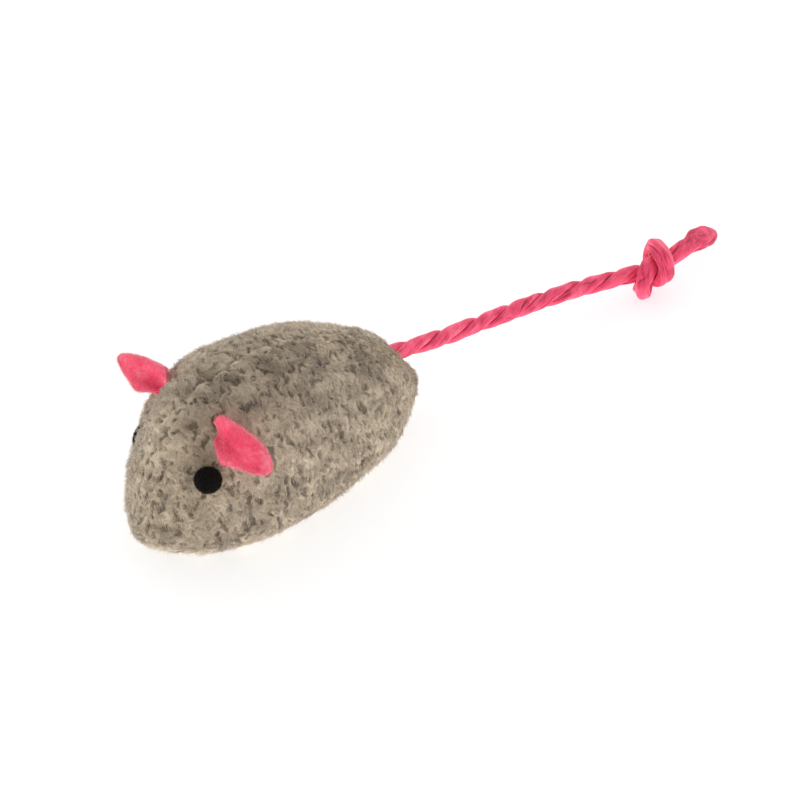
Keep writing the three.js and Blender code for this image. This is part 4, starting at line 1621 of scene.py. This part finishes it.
# A heap of curled leaf crumbs, at random in the box of the solid: each is a small flat lens with
# pointed ends, bent along its length.
def addCatnip():
    low, high = (np.array(corner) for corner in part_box("catnip_filling"))
    rng = np.random.default_rng(81)
    count = catnip["crumbs"]
    way = unit(rng.normal(size=(count, 3))) * rng.uniform(0, 1, (count, 1)) ** (1 / 3)
    spots = (low + high) / 2 + way * (high - low) / 2 * catnip["heap"]
    ahead = unit(rng.normal(size=(count, 3)))
    side = unit(np.cross(ahead, rng.normal(size=(count, 3))))
    up = np.cross(ahead, side)
    size = catnip["size"] * rng.uniform(*catnip["sizeRange"], count)
    rings, sides = catnip["rings"], catnip["sides"]
    long = np.linspace(-1, 1, rings)[:, None]
    turn = 2 * np.pi * np.arange(sides) / sides
    wide = np.sqrt(1 - catnip["blunt"] * long ** 2)
    local = np.stack(np.broadcast_arrays(
        long,
        catnip["wide"] * wide * np.cos(turn),
        catnip["thick"] * wide * np.sin(turn) + catnip["bend"] * long ** 2,
    ), axis=-1)
    axes = size[:, None, None] * np.stack([ahead, side, up], axis=1)
    crumbs = spots[:, None, None] + np.einsum("rsk,nkx->nrsx", local, axes)
    points = np.concatenate([crumbs.reshape(count, -1, 3), crumbs[:, [0, -1]].mean(axis=2)], axis=1)
    starts = (np.arange(count) * (rings * sides + 2))[:, None, None]
    faces = [(part + starts).reshape(-1, part.shape[1]) for part in tubeFaces(rings, sides)]
    piece = flatMesh("catnip_leaf", np.clip(points.reshape(-1, 3), low, high), faces)
    finishPiece(piece, "body", "dried_leaf", leafFinish(), "catnip_filling")


addStuffing()
addCatnip()
print("filling made")


# Floor and light

studio = {
    "floor": 1.2,  # half its side
    "floorTone": 0.45,
    "floorLift": 0.66,  # added where the camera looks
    "tableGlow": 1.9,  # of the lit table, on the object
    "darkWay": (0.58, -0.38, 0.72),  # towards the dim side of the room
    "fade": (-0.35, 0.95),  # how far that way the light starts to dim, and where it is dimmest
    "worldDim": 0.66,
    "worldBright": 1.5,
}


# A floor that keeps the object's shadow where the camera looks, and that glows on the object.
def addFloor():
    size, tone = studio["floor"], studio["floorTone"]
    points = np.array([(-size, -size, 0), (size, -size, 0), (size, size, 0), (-size, size, 0)])
    floor = flatMesh("floor", points, [np.array([[0, 1, 2, 3]])])
    finish = Finish("litTable", 0.9, Specular_IOR_Level=0.0, Base_Color=(tone, tone, tone, 1),
                    Emission_Color=(1, 1, 1, 1), Emission_Strength=studio["floorLift"])
    path = finish.add("LightPath", {})
    seen = [Socket(finish, path.link.node.outputs[ray])
            for ray in ("Is Camera Ray", "Is Glossy Ray", "Is Transmission Ray")]
    glow = finish.add("Emission", {}, Color=(1, 1, 1, 1), Strength=studio["tableGlow"])
    shown = finish.add("MixShader", {}, seen[0] + seen[1] + seen[2], glow,
                       Socket(finish, finish.shader.outputs[0]))
    finish.tree.links.new(shown.link, finish.tree.nodes["Material Output"].inputs["Surface"])
    floor.data.materials.append(finish.material)


# A pale room that is dim on one side: its strength falls as the way looked at nears the dark way.
def addWorld():
    world = bpy.data.worlds.new("studio")
    world.use_nodes = True
    nodes, links = world.node_tree.nodes, world.node_tree.links
    place = nodes.new("ShaderNodeTexCoord")
    facing = nodes.new("ShaderNodeVectorMath")
    facing.operation = "DOT_PRODUCT"
    facing.inputs[1].default_value = Vector(studio["darkWay"]).normalized()
    fade = nodes.new("ShaderNodeMapRange")
    fade.interpolation_type = "SMOOTHSTEP"
    ends = (*studio["fade"], studio["worldBright"], studio["worldDim"])
    for socket, value in enumerate(ends, 1):  # from low and high, to low and high
        fade.inputs[socket].default_value = value
    background = nodes["Background"]
    background.inputs["Color"].default_value = (1, 1, 1, 1)
    links.new(place.outputs["Generated"], facing.inputs[0])
    links.new(facing.outputs["Value"], fade.inputs[0])
    links.new(fade.outputs[0], background.inputs["Strength"])
    scene.world = world


addFloor()
addWorld()
scene.view_settings.view_transform = "Standard"
print("floor and light placed")

bpy.context.view_layer.update()
